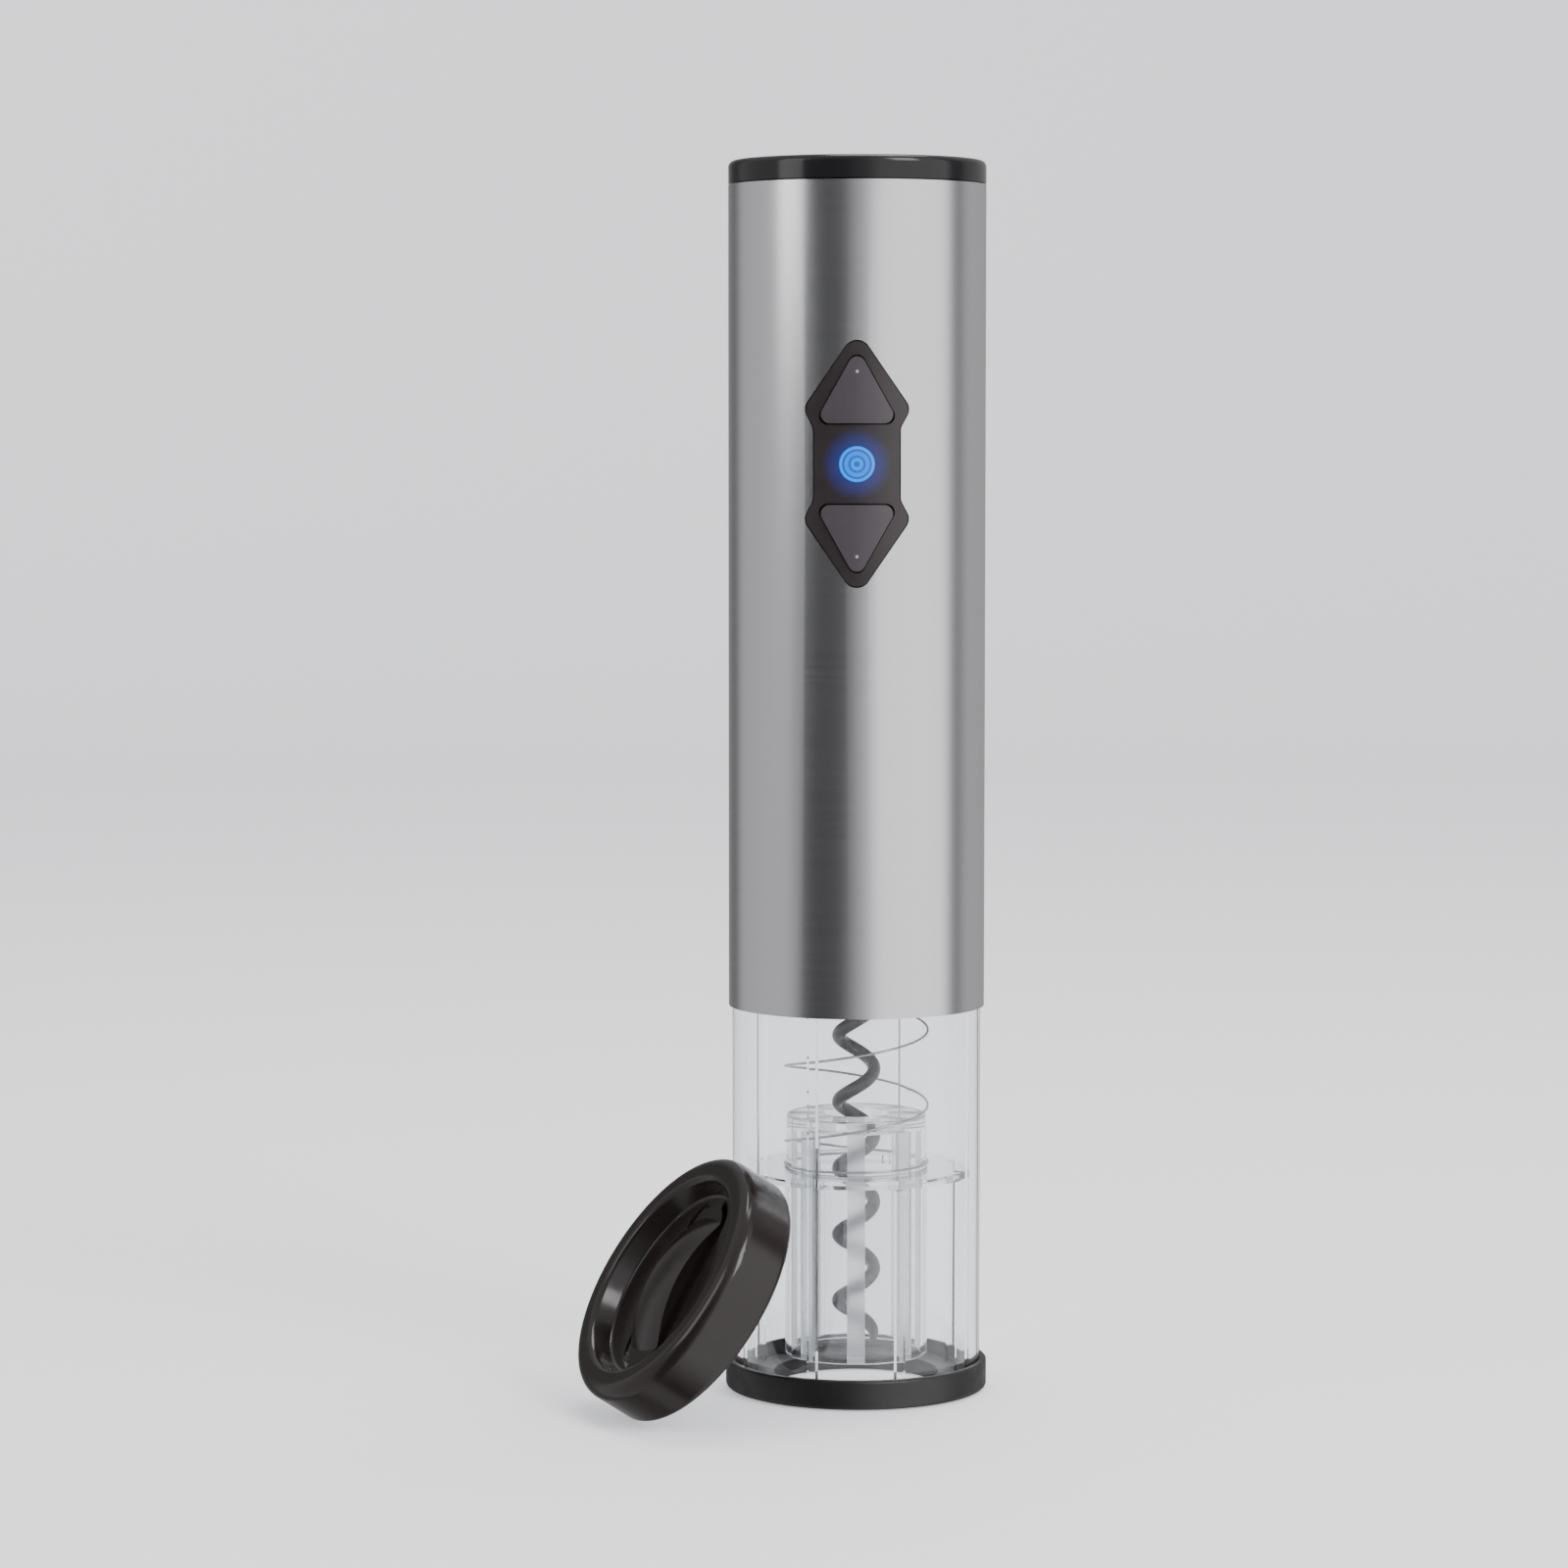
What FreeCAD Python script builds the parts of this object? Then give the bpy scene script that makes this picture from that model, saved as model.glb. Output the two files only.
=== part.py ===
import FreeCAD, Part
import math
import os
import re
import Sketcher

from FreeCAD import Placement, Rotation, Vector

# Electric wine opener with its foil cutter beside it. The origin is the centre of the base ring's bottom
# face. +Z runs up the opener, the buttons face -Y, and the foil cutter leans on the clear sleeve at the
# front left. All sizes are in millimetres.

# ---------------------------------------------------------------------------------------------
# Driving dimensions, one spreadsheet cell each
# ---------------------------------------------------------------------------------------------

DIMENSIONS = {
    # whole opener
    "body_dia": 48.0,
    "total_height": 230.0,
    "steel_wall": 0.5,
    "steel_low": 72.5,
    "slip_gap": 0.2,
    "moving_gap": 0.3,
    "running_gap": 0.03,
    # base ring and clear sleeve
    "base_flare": 0.6,
    "base_height": 5.5,
    "base_floor": 3.0,
    "base_round": 0.9,
    "bottle_dia": 31.0,
    "sleeve_wall": 2.4,
    "rail_wide": 1.6,
    "rail_deep": 1.3,
    # clear cork guide, its travel and its spring
    "guide_dia": 26.8,
    "guide_wall": 1.1,
    "guide_low": 6.5,
    "guide_flange_low": 40.5,
    "guide_flange_thick": 1.5,
    "guide_top": 52.0,
    "guide_ceiling": 2.5,
    "guide_hole_dia": 12.0,
    "guide_rib_wide": 3.0,
    "guide_rib_deep": 0.9,
    "guide_travel": 40.0,
    "guide_spare": 5.0,
    "spring_wire": 0.45,
    "spring_pitch": 14.2,
    # worm and its hub
    "worm_dia": 9.2,
    "worm_wire": 2.5,
    "worm_pitch": 12.6,
    "worm_point": 8.0,
    "hub_dia": 14.0,
    "hub_drop": 3.0,
    "hub_long": 18.0,
    "hub_pin_dia": 2.0,
    # chassis
    "chassis_wall": 1.8,
    "chassis_floor": 2.5,
    "rib_thick": 2.0,
    "skirt_thick": 1.6,
    "skirt_long": 9.0,
    "screw_dia": 2.0,
    "screw_head_dia": 3.6,
    "screw_head_thick": 1.3,
    "boss_dia": 4.8,
    "boss_offset": 18.4,
    # planetary gearbox
    "gear_module": 0.36,
    "sun_teeth": 12,
    "planet_teeth": 30,
    "gear_width": 5.0,
    "tooth_thinning": 0.06,
    "gearbox_dia": 34.0,
    "gearbox_cover_thick": 3.0,
    "motor_plate_thick": 2.0,
    "carrier_dia": 23.8,
    "carrier1_thick": 2.1,
    "carrier2_thick": 2.6,
    "axial_gap": 0.5,
    "planet_pin_dia": 2.0,
    "output_dia": 6.0,
    "bush_dia": 10.0,
    "gearbox_screw_offset": 15.3,
    # motor
    "motor_dia": 24.4,
    "motor_can_long": 26.5,
    "motor_bell_long": 4.5,
    "motor_can_wall": 1.0,
    "motor_boss_dia": 6.0,
    "motor_shaft_dia": 2.0,
    "magnet_thick": 1.9,
    "rotor_dia": 18.0,
    "rotor_long": 15.0,
    "commutator_dia": 5.6,
    # battery holder and cells
    "cell_dia": 14.2,
    "cell_long": 50.2,
    "cell_nub_long": 1.0,
    "cell_nub_dia": 5.5,
    "cell_offset": 7.9,
    "cell_gap": 0.35,
    "holder_floor": 2.4,
    "contact_thick": 0.4,
    "contact_rise": 1.8,
    "holder_neck_dia": 41.2,
    "holder_neck_long": 8.3,
    # cap
    "cap_rim_high": 4.5,
    "cap_crown_thick": 1.2,
    "cap_round": 1.2,
    "cap_skirt_wall": 2.1,
    "cap_plug_long": 7.5,
    "seal_thick": 0.6,
    "lug_high": 1.5,
    "lug_deep": 0.9,
    "lug_angle": 12.0,
    "cap_twist_angle": 35.0,
    "cap_carrier_thick": 2.0,
    # control panel, buttons and lens
    "panel_drop": 56.0,
    "panel_tip": 22.6,
    "panel_wing": 9.7,
    "panel_wing_high": 10.0,
    "panel_waist": 7.8,
    "panel_waist_high": 6.6,
    "panel_tip_round": 2.6,
    "panel_wing_round": 2.4,
    "panel_proud": 0.6,
    "panel_thick": 2.0,
    "panel_post_dia": 2.2,
    "button_tip": 19.5,
    "button_base": 7.4,
    "button_wide": 15.4,
    "button_round": 1.6,
    "button_proud": 0.4,
    "button_gap": 0.25,
    "button_flange": 0.7,
    "button_flange_thick": 0.7,
    "button_travel": 0.5,
    "lens_dia": 6.6,
    "lens_gap": 0.1,
    # circuit board
    "board_wide": 16.0,
    "board_high": 44.0,
    "board_thick": 1.2,
    "board_back": 16.2,
    "switch_wide": 6.0,
    "switch_deep": 3.2,
    "switch_spare": 1.1,
    "plunger_dia": 3.2,
    "plunger_out": 0.7,
    "lead_dia": 1.2,
    "lead_straight": 1.8,
    "motor_lead_rise": 15.7,
    # foil cutter
    "foil_dia": 50.0,
    "foil_thick": 11.0,
    "foil_round": 2.4,
    "foil_cover_thick": 1.8,
    "foil_rim": 5.0,
    "foil_pocket_dia": 31.0,
    "foil_pocket_deep": 5.5,
    "foil_web": 1.5,
    "foil_grip_long": 33.0,
    "foil_grip_wide": 11.0,
    "foil_grip_high": 3.4,
    "foil_slit_wide": 1.6,
    "foil_neck_wide": 5.0,
    "wheel_dia": 9.0,
    "wheel_thick": 0.6,
    "wheel_offset": 18.8,
    "wheel_spread": 38.0,
    "wheel_pin_dia": 1.5,
    # how the foil cutter leans
    "lean_angle": 33.7,
    "lean_heading": 24.7,
    "lean_bearing": 35.0,
    "foil_bar_turn": 8.0,
}

# Sizes that follow from the driving dimensions
DERIVED = {
    "base_dia": "body_dia + 2*base_flare",
    "body_r": "body_dia/2",
    "steel_bore_r": "body_r - steel_wall",
    "steel_top": "total_height - cap_rim_high",
    "inner_r": "steel_bore_r - slip_gap",
    "sleeve_bore_r": "inner_r - sleeve_wall",
    "base_r": "base_dia/2",
    "guide_r": "guide_dia/2",
    "guide_bore_r": "guide_r - guide_wall",
    "guide_flange_r": "sleeve_bore_r - moving_gap",
    "guide_flange_top": "guide_flange_low + guide_flange_thick",
    "collar_r": "guide_r - spring_wire/2",
    "chassis_low": "guide_top + guide_travel + guide_spare",
    "spring_r": "collar_r + moving_gap + spring_wire/2",
    "chassis_bore_r": "inner_r - chassis_wall",
    "chassis_floor_top": "chassis_low + chassis_floor",
    "hub_low": "chassis_low - hub_drop",
    "hub_top": "hub_low + hub_long",
    "worm_r": "(worm_dia - worm_wire)/2",
    "shank_r": "worm_dia/2 + slip_gap/2",
    "output_r": "output_dia/2",
    "gearbox_low": "hub_top + axial_gap",
    "gearbox_r": "gearbox_dia/2",
    "ring_low": "gearbox_low + gearbox_cover_thick",
    "carrier2_low": "ring_low + axial_gap",
    "carrier2_top": "carrier2_low + carrier2_thick",
    "planet2_low": "carrier2_top + axial_gap",
    "planet2_top": "planet2_low + gear_width",
    "carrier1_low": "planet2_top + axial_gap",
    "carrier1_top": "carrier1_low + carrier1_thick",
    "planet1_low": "carrier1_top + axial_gap",
    "planet1_top": "planet1_low + gear_width",
    "ring_top": "planet1_top + 2*axial_gap",
    "motor_low": "ring_top + motor_plate_thick",
    "motor_r": "motor_dia/2",
    "can_top": "motor_low + motor_can_long",
    "bell_top": "can_top + motor_bell_long",
    "cell_low": "cap_carrier_low - cell_nub_long - cell_long",
    "contact_low": "cell_low - contact_rise - contact_thick",
    "chassis_top": "contact_low - holder_floor",
    "rotor_hub_r": "rotor_dia*0.15",
    "rotor_tooth_r": "rotor_dia*0.42",
    "winding_in_r": "rotor_dia*0.19",
    "winding_out_r": "rotor_dia*0.38",
    "winding_over": "rotor_dia*0.08",
    "contact_plate_r": "cell_dia*0.42",
    "orbit_r": "gear_module*(sun_teeth + planet_teeth)/2",
    "holder_low": "chassis_top",
    "cell_top": "cell_low + cell_long",
    "cell_bore_r": "cell_dia/2 + cell_gap",
    "holder_top": "steel_top - slip_gap",
    "holder_neck_r": "holder_neck_dia/2",
    "neck_low": "holder_top - holder_neck_long",
    "cap_low": "steel_top + moving_gap",
    "skirt_bore_r": "holder_neck_r + moving_gap",
    "skirt_out_r": "steel_bore_r - moving_gap",
    "cap_skirt_low": "steel_top - cap_plug_long",
    "crown_low": "total_height - cap_crown_thick",
    "cap_carrier_top": "crown_low - moving_gap",
    "cap_carrier_low": "cap_carrier_top - cap_carrier_thick",
    "panel_slope": "(panel_tip - panel_wing_high)/panel_wing",
    "panel_peak": "panel_tip + panel_tip_round*(sqrt(1 + panel_slope*panel_slope) - 1)",
    "button_slope": "2*(button_tip - button_base)/button_wide",
    "button_peak": "button_tip + button_round*(sqrt(1 + button_slope*button_slope) - 1)*1.2",
    "panel_out_r": "body_r + panel_proud",
    "panel_in_r": "panel_out_r - panel_thick",
    "button_out_r": "panel_out_r + button_proud",
    "flange_out_r": "panel_in_r - button_gap",
    "flange_in_r": "flange_out_r - button_flange_thick",
    "board_front": "board_back + board_thick",
    "panel_centre": "total_height - panel_drop",
    "board_low": "panel_centre - board_high/2",
    "board_top": "panel_centre + board_high/2",
    "motor_lead_top": "board_low + motor_lead_rise",
    "button_middle": "(button_tip + 2*button_base)/3",
    "switch_front": "board_front + switch_deep",
    "plunger_front": "switch_front + plunger_out",
    "panel_post_offset": "lens_dia/2 + 2.5",
    "foil_r": "foil_dia/2",
    "foil_pocket_r": "foil_pocket_dia/2",
    "foil_web_top": "foil_pocket_deep + foil_web",
    "wheel_r": "wheel_dia/2",
    "wheel_low": "foil_cover_thick + moving_gap",
    "wheel_top": "wheel_low + wheel_thick",
    "hub_shank_top": "hub_low + hub_long/2",
    "lug_low": "cap_skirt_low + 1.5",
    "notch_r": "skirt_bore_r - lug_deep - moving_gap",
    "battery_lead_x": "cell_offset - 1.1",
    "battery_lead_y": "cell_offset + 1.1",
}

doc = FreeCAD.newDocument("wine_opener")
sheet = doc.addObject("Spreadsheet::Sheet", "dims")
for row, (alias, number) in enumerate(DIMENSIONS.items(), start=1):
    sheet.set(f"A{row}", str(number))
    sheet.setAlias(f"A{row}", alias)
doc.recompute()

WORD = re.compile(r"[a-z][a-z_0-9]*")


def formula(text):
    """Spell a size out in the sheet's own cells, ready for setExpression."""

    def spell(match):
        word = match.group()
        if word in DERIVED:
            return f"({formula(DERIVED[word])})"
        if word in DIMENSIONS:
            return f"dims.{word}"
        return word

    return WORD.sub(spell, str(text))


def size(text):
    """The present value of a size, for shapes that are worked out in code."""
    return float(sheet.evalExpression(formula(text)))


# ---------------------------------------------------------------------------------------------
# Building blocks
# ---------------------------------------------------------------------------------------------

AXIS_TURN = {
    "z": Rotation(),
    "x": Rotation(Vector(0, 1, 0), 90),
    "front": Rotation(Vector(1, 0, 0), 90),
}
pieces = []


def node(label, item):
    """Name a finished piece; its label is also the name of its file."""
    item.Label = label
    pieces.append(item)
    return item


def place(item, x=0, y=0, z=0, turn=None):
    """Bind an object's position to the sheet."""
    if turn is not None:
        item.Placement = Placement(Vector(), turn)
    for axis, text in zip("xyz", (x, y, z)):
        item.setExpression(f"Placement.Base.{axis}", formula(text))
    return item


def cylinder(radius, low, high, x=0, y=0, axis="z"):
    """A round bar from low to high; along "x", or towards the "front", low and high are distances."""
    bar = doc.addObject("Part::Cylinder", "bar")
    bar.setExpression("Radius", formula(radius))
    bar.setExpression("Height", formula(f"({high}) - ({low})"))
    if axis == "z":
        return place(bar, x, y, low)
    if axis == "x":
        return place(bar, low, x, y, AXIS_TURN["x"])
    return place(bar, x, f"-({low})", y, AXIS_TURN["front"])


def block(low, high):
    """A box between two corners, each given as three sizes."""
    box = doc.addObject("Part::Box", "block")
    for side, start, end in zip(("Length", "Width", "Height"), low, high):
        box.setExpression(side, formula(f"({end}) - ({start})"))
    return place(box, *low)


def fuse(*items):
    """Join objects into one."""
    if len(items) == 1:
        return items[0]
    joined = doc.addObject("Part::MultiFuse", "joined")
    joined.Shapes = list(items)
    return joined


def cut(base, *tools):
    """Take the tools away from the base."""
    rest = doc.addObject("Part::Cut", "rest")
    rest.Base = base
    rest.Tool = fuse(*tools)
    return rest


def common(first, second):
    """Keep what two objects share."""
    shared = doc.addObject("Part::Common", "shared")
    shared.Base = first
    shared.Tool = second
    return shared


def several(items):
    """Keep separate solids together in one piece."""
    batch = doc.addObject("Part::Compound", "batch")
    batch.Links = list(items)
    return batch


def solid(shape):
    """A piece whose shape is worked out in code."""
    item = doc.addObject("Part::Feature", "worked")
    item.Shape = shape
    return item


def polar(radius, angle):
    """X and Y of a point on a circle, as two formulas."""
    return f"({radius})*cos({angle})", f"({radius})*sin({angle})"


def corner_cut(before, corner, after, radius):
    """Where a rounded corner leaves its two edges, and the centre of its arc."""
    back = (before - corner).normalize()
    ahead = (after - corner).normalize()
    half = back.getAngle(ahead) / 2
    reach = radius / math.tan(half)
    centre = corner + (back + ahead).normalize() * (radius / math.sin(half))
    return corner + back * reach, corner + ahead * reach, centre


def outline(sketch, corners):
    """Draw a closed outline; a corner is (x, y) or (x, y, rounding), and each is bound to the sheet."""
    count = len(corners)
    points = [Vector(size(c[0]), size(c[1]), 0) for c in corners]
    ends = []
    for k, corner in enumerate(corners):
        if len(corner) == 3:
            ends.append(corner_cut(points[k - 1], points[k], points[(k + 1) % count], size(corner[2])))
        else:
            ends.append((points[k], points[k], None))
    lines = []
    for k in range(count):
        edge = Part.LineSegment(ends[k][1], ends[(k + 1) % count][0])
        lines.append(sketch.addGeometry(edge, False))
    bound = {}
    rules = []

    def rule(name, text, *what):
        constraint = Sketcher.Constraint(*what, size(text))
        constraint.Name = name
        rules.append(constraint)
        bound[name] = formula(text)

    stem = f"o{sketch.GeometryCount}_"
    for k, corner in enumerate(corners):
        before, after = lines[k - 1], lines[k]
        if ends[k][2] is None:
            rules.append(Sketcher.Constraint("Coincident", before, 2, after, 1))
            target = (after, 1)
        else:
            enter, leave, centre = ends[k]
            sweep = [math.atan2(p.y - centre.y, p.x - centre.x) for p in (enter, leave)]
            step_in = points[k] - points[k - 1]
            step_out = points[(k + 1) % count] - points[k]
            order = (1, 2)
            if step_in.cross(step_out).z < 0:
                sweep.reverse()
                order = (2, 1)
            circle = Part.Circle(centre, Vector(0, 0, 1), size(corner[2]))
            arc = sketch.addGeometry(Part.ArcOfCircle(circle, *sweep), False)
            rules.append(Sketcher.Constraint("Tangent", before, 2, arc, order[0]))
            rules.append(Sketcher.Constraint("Tangent", arc, order[1], after, 1))
            rule(f"{stem}r{k}", corner[2], "Radius", arc)
            mark = sketch.addGeometry(Part.Point(points[k]), True)
            rules.append(Sketcher.Constraint("PointOnObject", mark, 1, before))
            rules.append(Sketcher.Constraint("PointOnObject", mark, 1, after))
            target = (mark, 1)
        rule(f"{stem}x{k}", corner[0], "DistanceX", -1, 1, *target)
        rule(f"{stem}y{k}", corner[1], "DistanceY", -1, 1, *target)
    sketch.addConstraint(rules)
    for name, text in bound.items():
        sketch.setExpression(f"Constraints.{name}", text)


def body_with_sketch(plane, corners, offset=0):
    """A PartDesign body with one outline on one of its own planes."""
    body = doc.addObject("PartDesign::Body", "body")
    sketch = body.newObject("Sketcher::SketchObject", "sketch")
    support = next(item for item in body.Origin.OriginFeatures if item.Role == plane)
    sketch.AttachmentSupport = (support, [""])
    sketch.MapMode = "FlatFace"
    sketch.setExpression("AttachmentOffset.Base.z", formula(offset))
    outline(sketch, corners)
    return body, sketch


def turned(corners, angle=360):
    """Turn an outline of (radius, height) corners about the Z axis."""
    body, sketch = body_with_sketch("XZ_Plane", corners)
    turn = body.newObject("PartDesign::Revolution", "turn")
    turn.Profile = sketch
    turn.ReferenceAxis = (sketch, ["V_Axis"])
    turn.setExpression("Angle", formula(angle))
    return body


def plate(corners, low, high, towards="z"):
    """Pad an outline from low to high, up Z or towards the front."""
    plane = "XY_Plane" if towards == "z" else "XZ_Plane"
    body, sketch = body_with_sketch(plane, corners, low)
    pad = body.newObject("PartDesign::Pad", "pad")
    pad.Profile = sketch
    pad.setExpression("Length", formula(f"({high}) - ({low})"))
    return body


def ring(inner, outer, low, high):
    """A plain round ring."""
    return turned([(inner, low), (outer, low), (outer, high), (inner, high)])


def pipe(points, radius, bend):
    """A round wire along straight runs joined by tangent arcs."""
    edges = []
    start = points[0]
    for before, corner, after in zip(points, points[1:], points[2:]):
        enter, leave, centre = corner_cut(before, corner, after, bend)
        middle = centre + (corner - centre).normalize() * bend
        edges.append(Part.makeLine(start, enter))
        edges.append(Part.Arc(enter, middle, leave).toShape())
        start = leave
    edges.append(Part.makeLine(start, points[-1]))
    path = Part.Wire(edges)
    section = Part.Wire(Part.Circle(points[0], points[1] - points[0], radius).toShape())
    return path.makePipeShell([section], True, False)


def coil(radius, wire_radius, pitch, low, high, start_angle=0.0, sides=0):
    """A right-handed wire helix, from low to high along its wire's centre; sides=0 makes it round."""
    helix = Part.Wire(Part.makeHelix(pitch, high - low, radius).Edges)
    along = Vector(0, 2 * math.pi * radius, pitch).normalize()
    middle = Vector(radius, 0, 0)
    section = Part.Wire(Part.Circle(middle, along, wire_radius).toShape())
    if sides:
        outward = Vector(1, 0, 0)
        upward = outward.cross(along)
        corners = []
        for k in range(sides):
            turn = 2 * math.pi * (k + 0.5) / sides
            corners.append(middle + (outward * math.cos(turn) + upward * math.sin(turn)) * wire_radius)
        section = Part.makePolygon(corners + corners[:1])
    shape = helix.makePipeShell([section], True, True)
    shape.Placement = Placement(Vector(0, 0, low), Rotation(Vector(0, 0, 1), start_angle))
    return shape


# ---------------------------------------------------------------------------------------------
# Outer pieces: base ring, clear sleeve, steel sleeve
# ---------------------------------------------------------------------------------------------


def make_base_ring():
    """Floor with the bottle bore, and a low wall around the foot of the clear sleeve."""
    wall_r = "inner_r + slip_gap/2"
    return turned([
        ("bottle_dia/2", 0),
        ("base_r", 0, "base_round"),
        ("base_r", "base_height", "base_round/2"),
        (wall_r, "base_height"),
        (wall_r, "base_floor"),
        ("bottle_dia/2", "base_floor"),
    ])


def make_clear_sleeve():
    """Clear tube with eight inner rails: four long keys for the guide and four that it rests on."""
    tube = ring("sleeve_bore_r", "inner_r", "base_floor", "chassis_low")
    rails = []
    for k in range(8):
        rail_top = "chassis_low - skirt_long - 1" if k % 2 else "guide_flange_low - moving_gap"
        rail = block(
            ("sleeve_bore_r - rail_deep", "-rail_wide/2", "base_floor"),
            ("sleeve_bore_r + sleeve_wall/2", "rail_wide/2", rail_top),
        )
        rails.append(spun(rail, 22.5 + 45 * k))
    screws = [radial_hole(angle, "screw_dia/2") for angle in SLEEVE_SCREW_ANGLES]
    sink_bottom = "inner_r - screw_head_thick"
    sinks = [radial_hole(angle, "screw_head_dia/2", sink_bottom) for angle in SLEEVE_SCREW_ANGLES]
    return cut(fuse(tube, *rails), *screws, *sinks)


def spun(item, angle):
    """Turn an object about the opener's axis by wrapping it in a placed compound."""
    wrap = several([item])
    wrap.Placement = Placement(Vector(), Rotation(Vector(0, 0, 1), angle))
    return wrap


SLEEVE_SCREW_ANGLES = (45, 135, 225, 315)
SLEEVE_SCREW_Z = "chassis_low - skirt_long/2"


def radial_hole(angle, radius, start="sleeve_bore_r - skirt_thick - 1"):
    """A hole or bar that points straight out from the axis at the height of the sleeve screws."""
    return spun(cylinder(radius, start, "inner_r", 0, SLEEVE_SCREW_Z, "x"), angle)


def panel_corners(margin):
    """The control panel's outline, two arrow heads joined by a waist, grown by a margin."""
    right = [
        ("0", f"panel_centre + panel_peak + {margin}", "panel_tip_round"),
        (f"panel_wing + {margin}", f"panel_centre + panel_wing_high + {margin}/2", "panel_wing_round"),
        (f"panel_waist + {margin}", "panel_centre + panel_waist_high", "panel_wing_round"),
        (f"panel_waist + {margin}", "panel_centre - panel_waist_high", "panel_wing_round"),
        (f"panel_wing + {margin}", f"panel_centre - panel_wing_high - {margin}/2", "panel_wing_round"),
        ("0", f"panel_centre - panel_peak - {margin}", "panel_tip_round"),
    ]
    left = [(f"-({x})", z, rounding) for x, z, rounding in reversed(right[1:-1])]
    return right + left


def button_corners(side, margin):
    """A button's rounded triangle; side is 1 for the upper one and -1 for the lower one."""
    tip = f"panel_centre + ({side})*(button_peak + 1.3*({margin}))"
    base = f"panel_centre + ({side})*(button_base - ({margin}))"
    half = f"button_wide/2 + 1.2*({margin})"
    return [
        ("0", tip, "button_round"),
        (half, base, "button_round"),
        (f"-({half})", base, "button_round"),
    ]


def make_body_sleeve():
    """Brushed steel tube with the opening for the control panel."""
    tube = ring("steel_bore_r", "body_r", "steel_low", "steel_top")
    opening = plate(panel_corners("slip_gap"), "chassis_bore_r/2", "panel_out_r + 1", "front")
    return cut(tube, opening)


# ---------------------------------------------------------------------------------------------
# Cork guide, spring and worm
# ---------------------------------------------------------------------------------------------


def make_cork_guide():
    """Clear tube for the cork with inner ribs, a keyed flange, a collar and a ceiling for the worm."""
    shell = turned([
        ("guide_bore_r", "guide_low"),
        ("guide_r", "guide_low", "guide_wall/4"),
        ("guide_r", "guide_flange_low"),
        ("guide_flange_r", "guide_flange_low"),
        ("guide_flange_r", "guide_flange_top"),
        ("collar_r", "guide_flange_top"),
        ("collar_r", "guide_top", "guide_wall/2"),
        ("guide_hole_dia/2", "guide_top"),
        ("guide_hole_dia/2", "guide_top - guide_ceiling"),
        ("guide_bore_r", "guide_top - guide_ceiling"),
    ])
    ribs = []
    for k in range(8):
        rib = block(
            ("guide_bore_r - guide_rib_deep", "-guide_rib_wide/2", "guide_low + guide_wall"),
            ("guide_bore_r + guide_wall/2", "guide_rib_wide/2", "guide_top - guide_ceiling/2"),
        )
        ribs.append(spun(rib, 45 * k))
    notches = []
    for k in range(1, 8, 2):
        notch = block(
            ("sleeve_bore_r - rail_deep - moving_gap", "-rail_wide/2 - moving_gap", "guide_flange_low - 1"),
            ("sleeve_bore_r + 1", "rail_wide/2 + moving_gap", "guide_flange_top + 1"),
        )
        notches.append(spun(notch, 22.5 + 45 * k))
    return cut(fuse(shell, *ribs), *notches)


def make_guide_spring():
    """Open coil that pushes the cork guide back down."""
    wire_r = size("spring_wire/2")
    low = size("guide_flange_top") + wire_r + 0.02
    high = size("chassis_low") - wire_r - 0.02
    pitch = size("spring_pitch")
    return solid(coil(size("spring_r"), wire_r, pitch, low, high, SPRING_START_ANGLE, SPRING_SIDES))


SPRING_START_ANGLE = 89.0
SPRING_SIDES = 6
WORM_POINT_ANGLE = -45.0
WORM_POINT_TURN = 100.0


def make_worm():
    """Right-handed corkscrew with a drawn-out point and a round shank for the hub."""
    radius = size("worm_r")
    wire_r = size("worm_wire/2")
    pitch = size("worm_pitch")
    slope = math.atan2(pitch, 2 * math.pi * radius)
    low = size("worm_point") + wire_r * 0.3 + pitch * WORM_POINT_TURN / 360
    shank_low = size("hub_low") + 0.3
    high = shank_low + wire_r * 1.3
    start_angle = WORM_POINT_ANGLE + WORM_POINT_TURN
    screw = coil(radius, wire_r, pitch, low, high, start_angle)
    sections = []
    steps = 6
    for k in range(-1, steps):
        back = max(k, k / 10) / (steps - 1)
        angle = math.radians(start_angle - back * WORM_POINT_TURN)
        centre = Vector(
            radius * math.cos(angle),
            radius * math.sin(angle),
            low - back * pitch * WORM_POINT_TURN / 360,
        )
        flat = math.cos(slope)
        along = Vector(-math.sin(angle) * flat, math.cos(angle) * flat, math.sin(slope))
        section_r = wire_r * (0.98 - 0.88 * max(0.0, back) ** 2)
        sections.append(Part.Wire(Part.Circle(centre, along, section_r).toShape()))
    point = Part.makeLoft(sections, True, False)
    shank = Part.makeCylinder(size("shank_r"), size("hub_shank_top") - shank_low, Vector(0, 0, shank_low))
    return solid(screw.fuse([point, shank]))


def make_worm_hub():
    """Hub that takes the worm's shank from below and the gearbox's output shaft from above."""
    body = turned([
        ("shank_r", "hub_low"),
        ("hub_dia/2", "hub_low", "spring_wire"),
        ("hub_dia/2", "hub_top", "spring_wire"),
        ("output_r", "hub_top"),
        ("output_r", "hub_shank_top"),
        ("shank_r", "hub_shank_top"),
    ])
    return cut(body, hub_pin_bar("hub_dia"))


def hub_pin_bar(length):
    """The cross pin's bar, a little above the middle of the hub's upper half."""
    return cylinder("hub_pin_dia/2", f"-({length})/2", f"({length})/2", 0, "hub_top - hub_long/4", "x")


# ---------------------------------------------------------------------------------------------
# Chassis
# ---------------------------------------------------------------------------------------------


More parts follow.
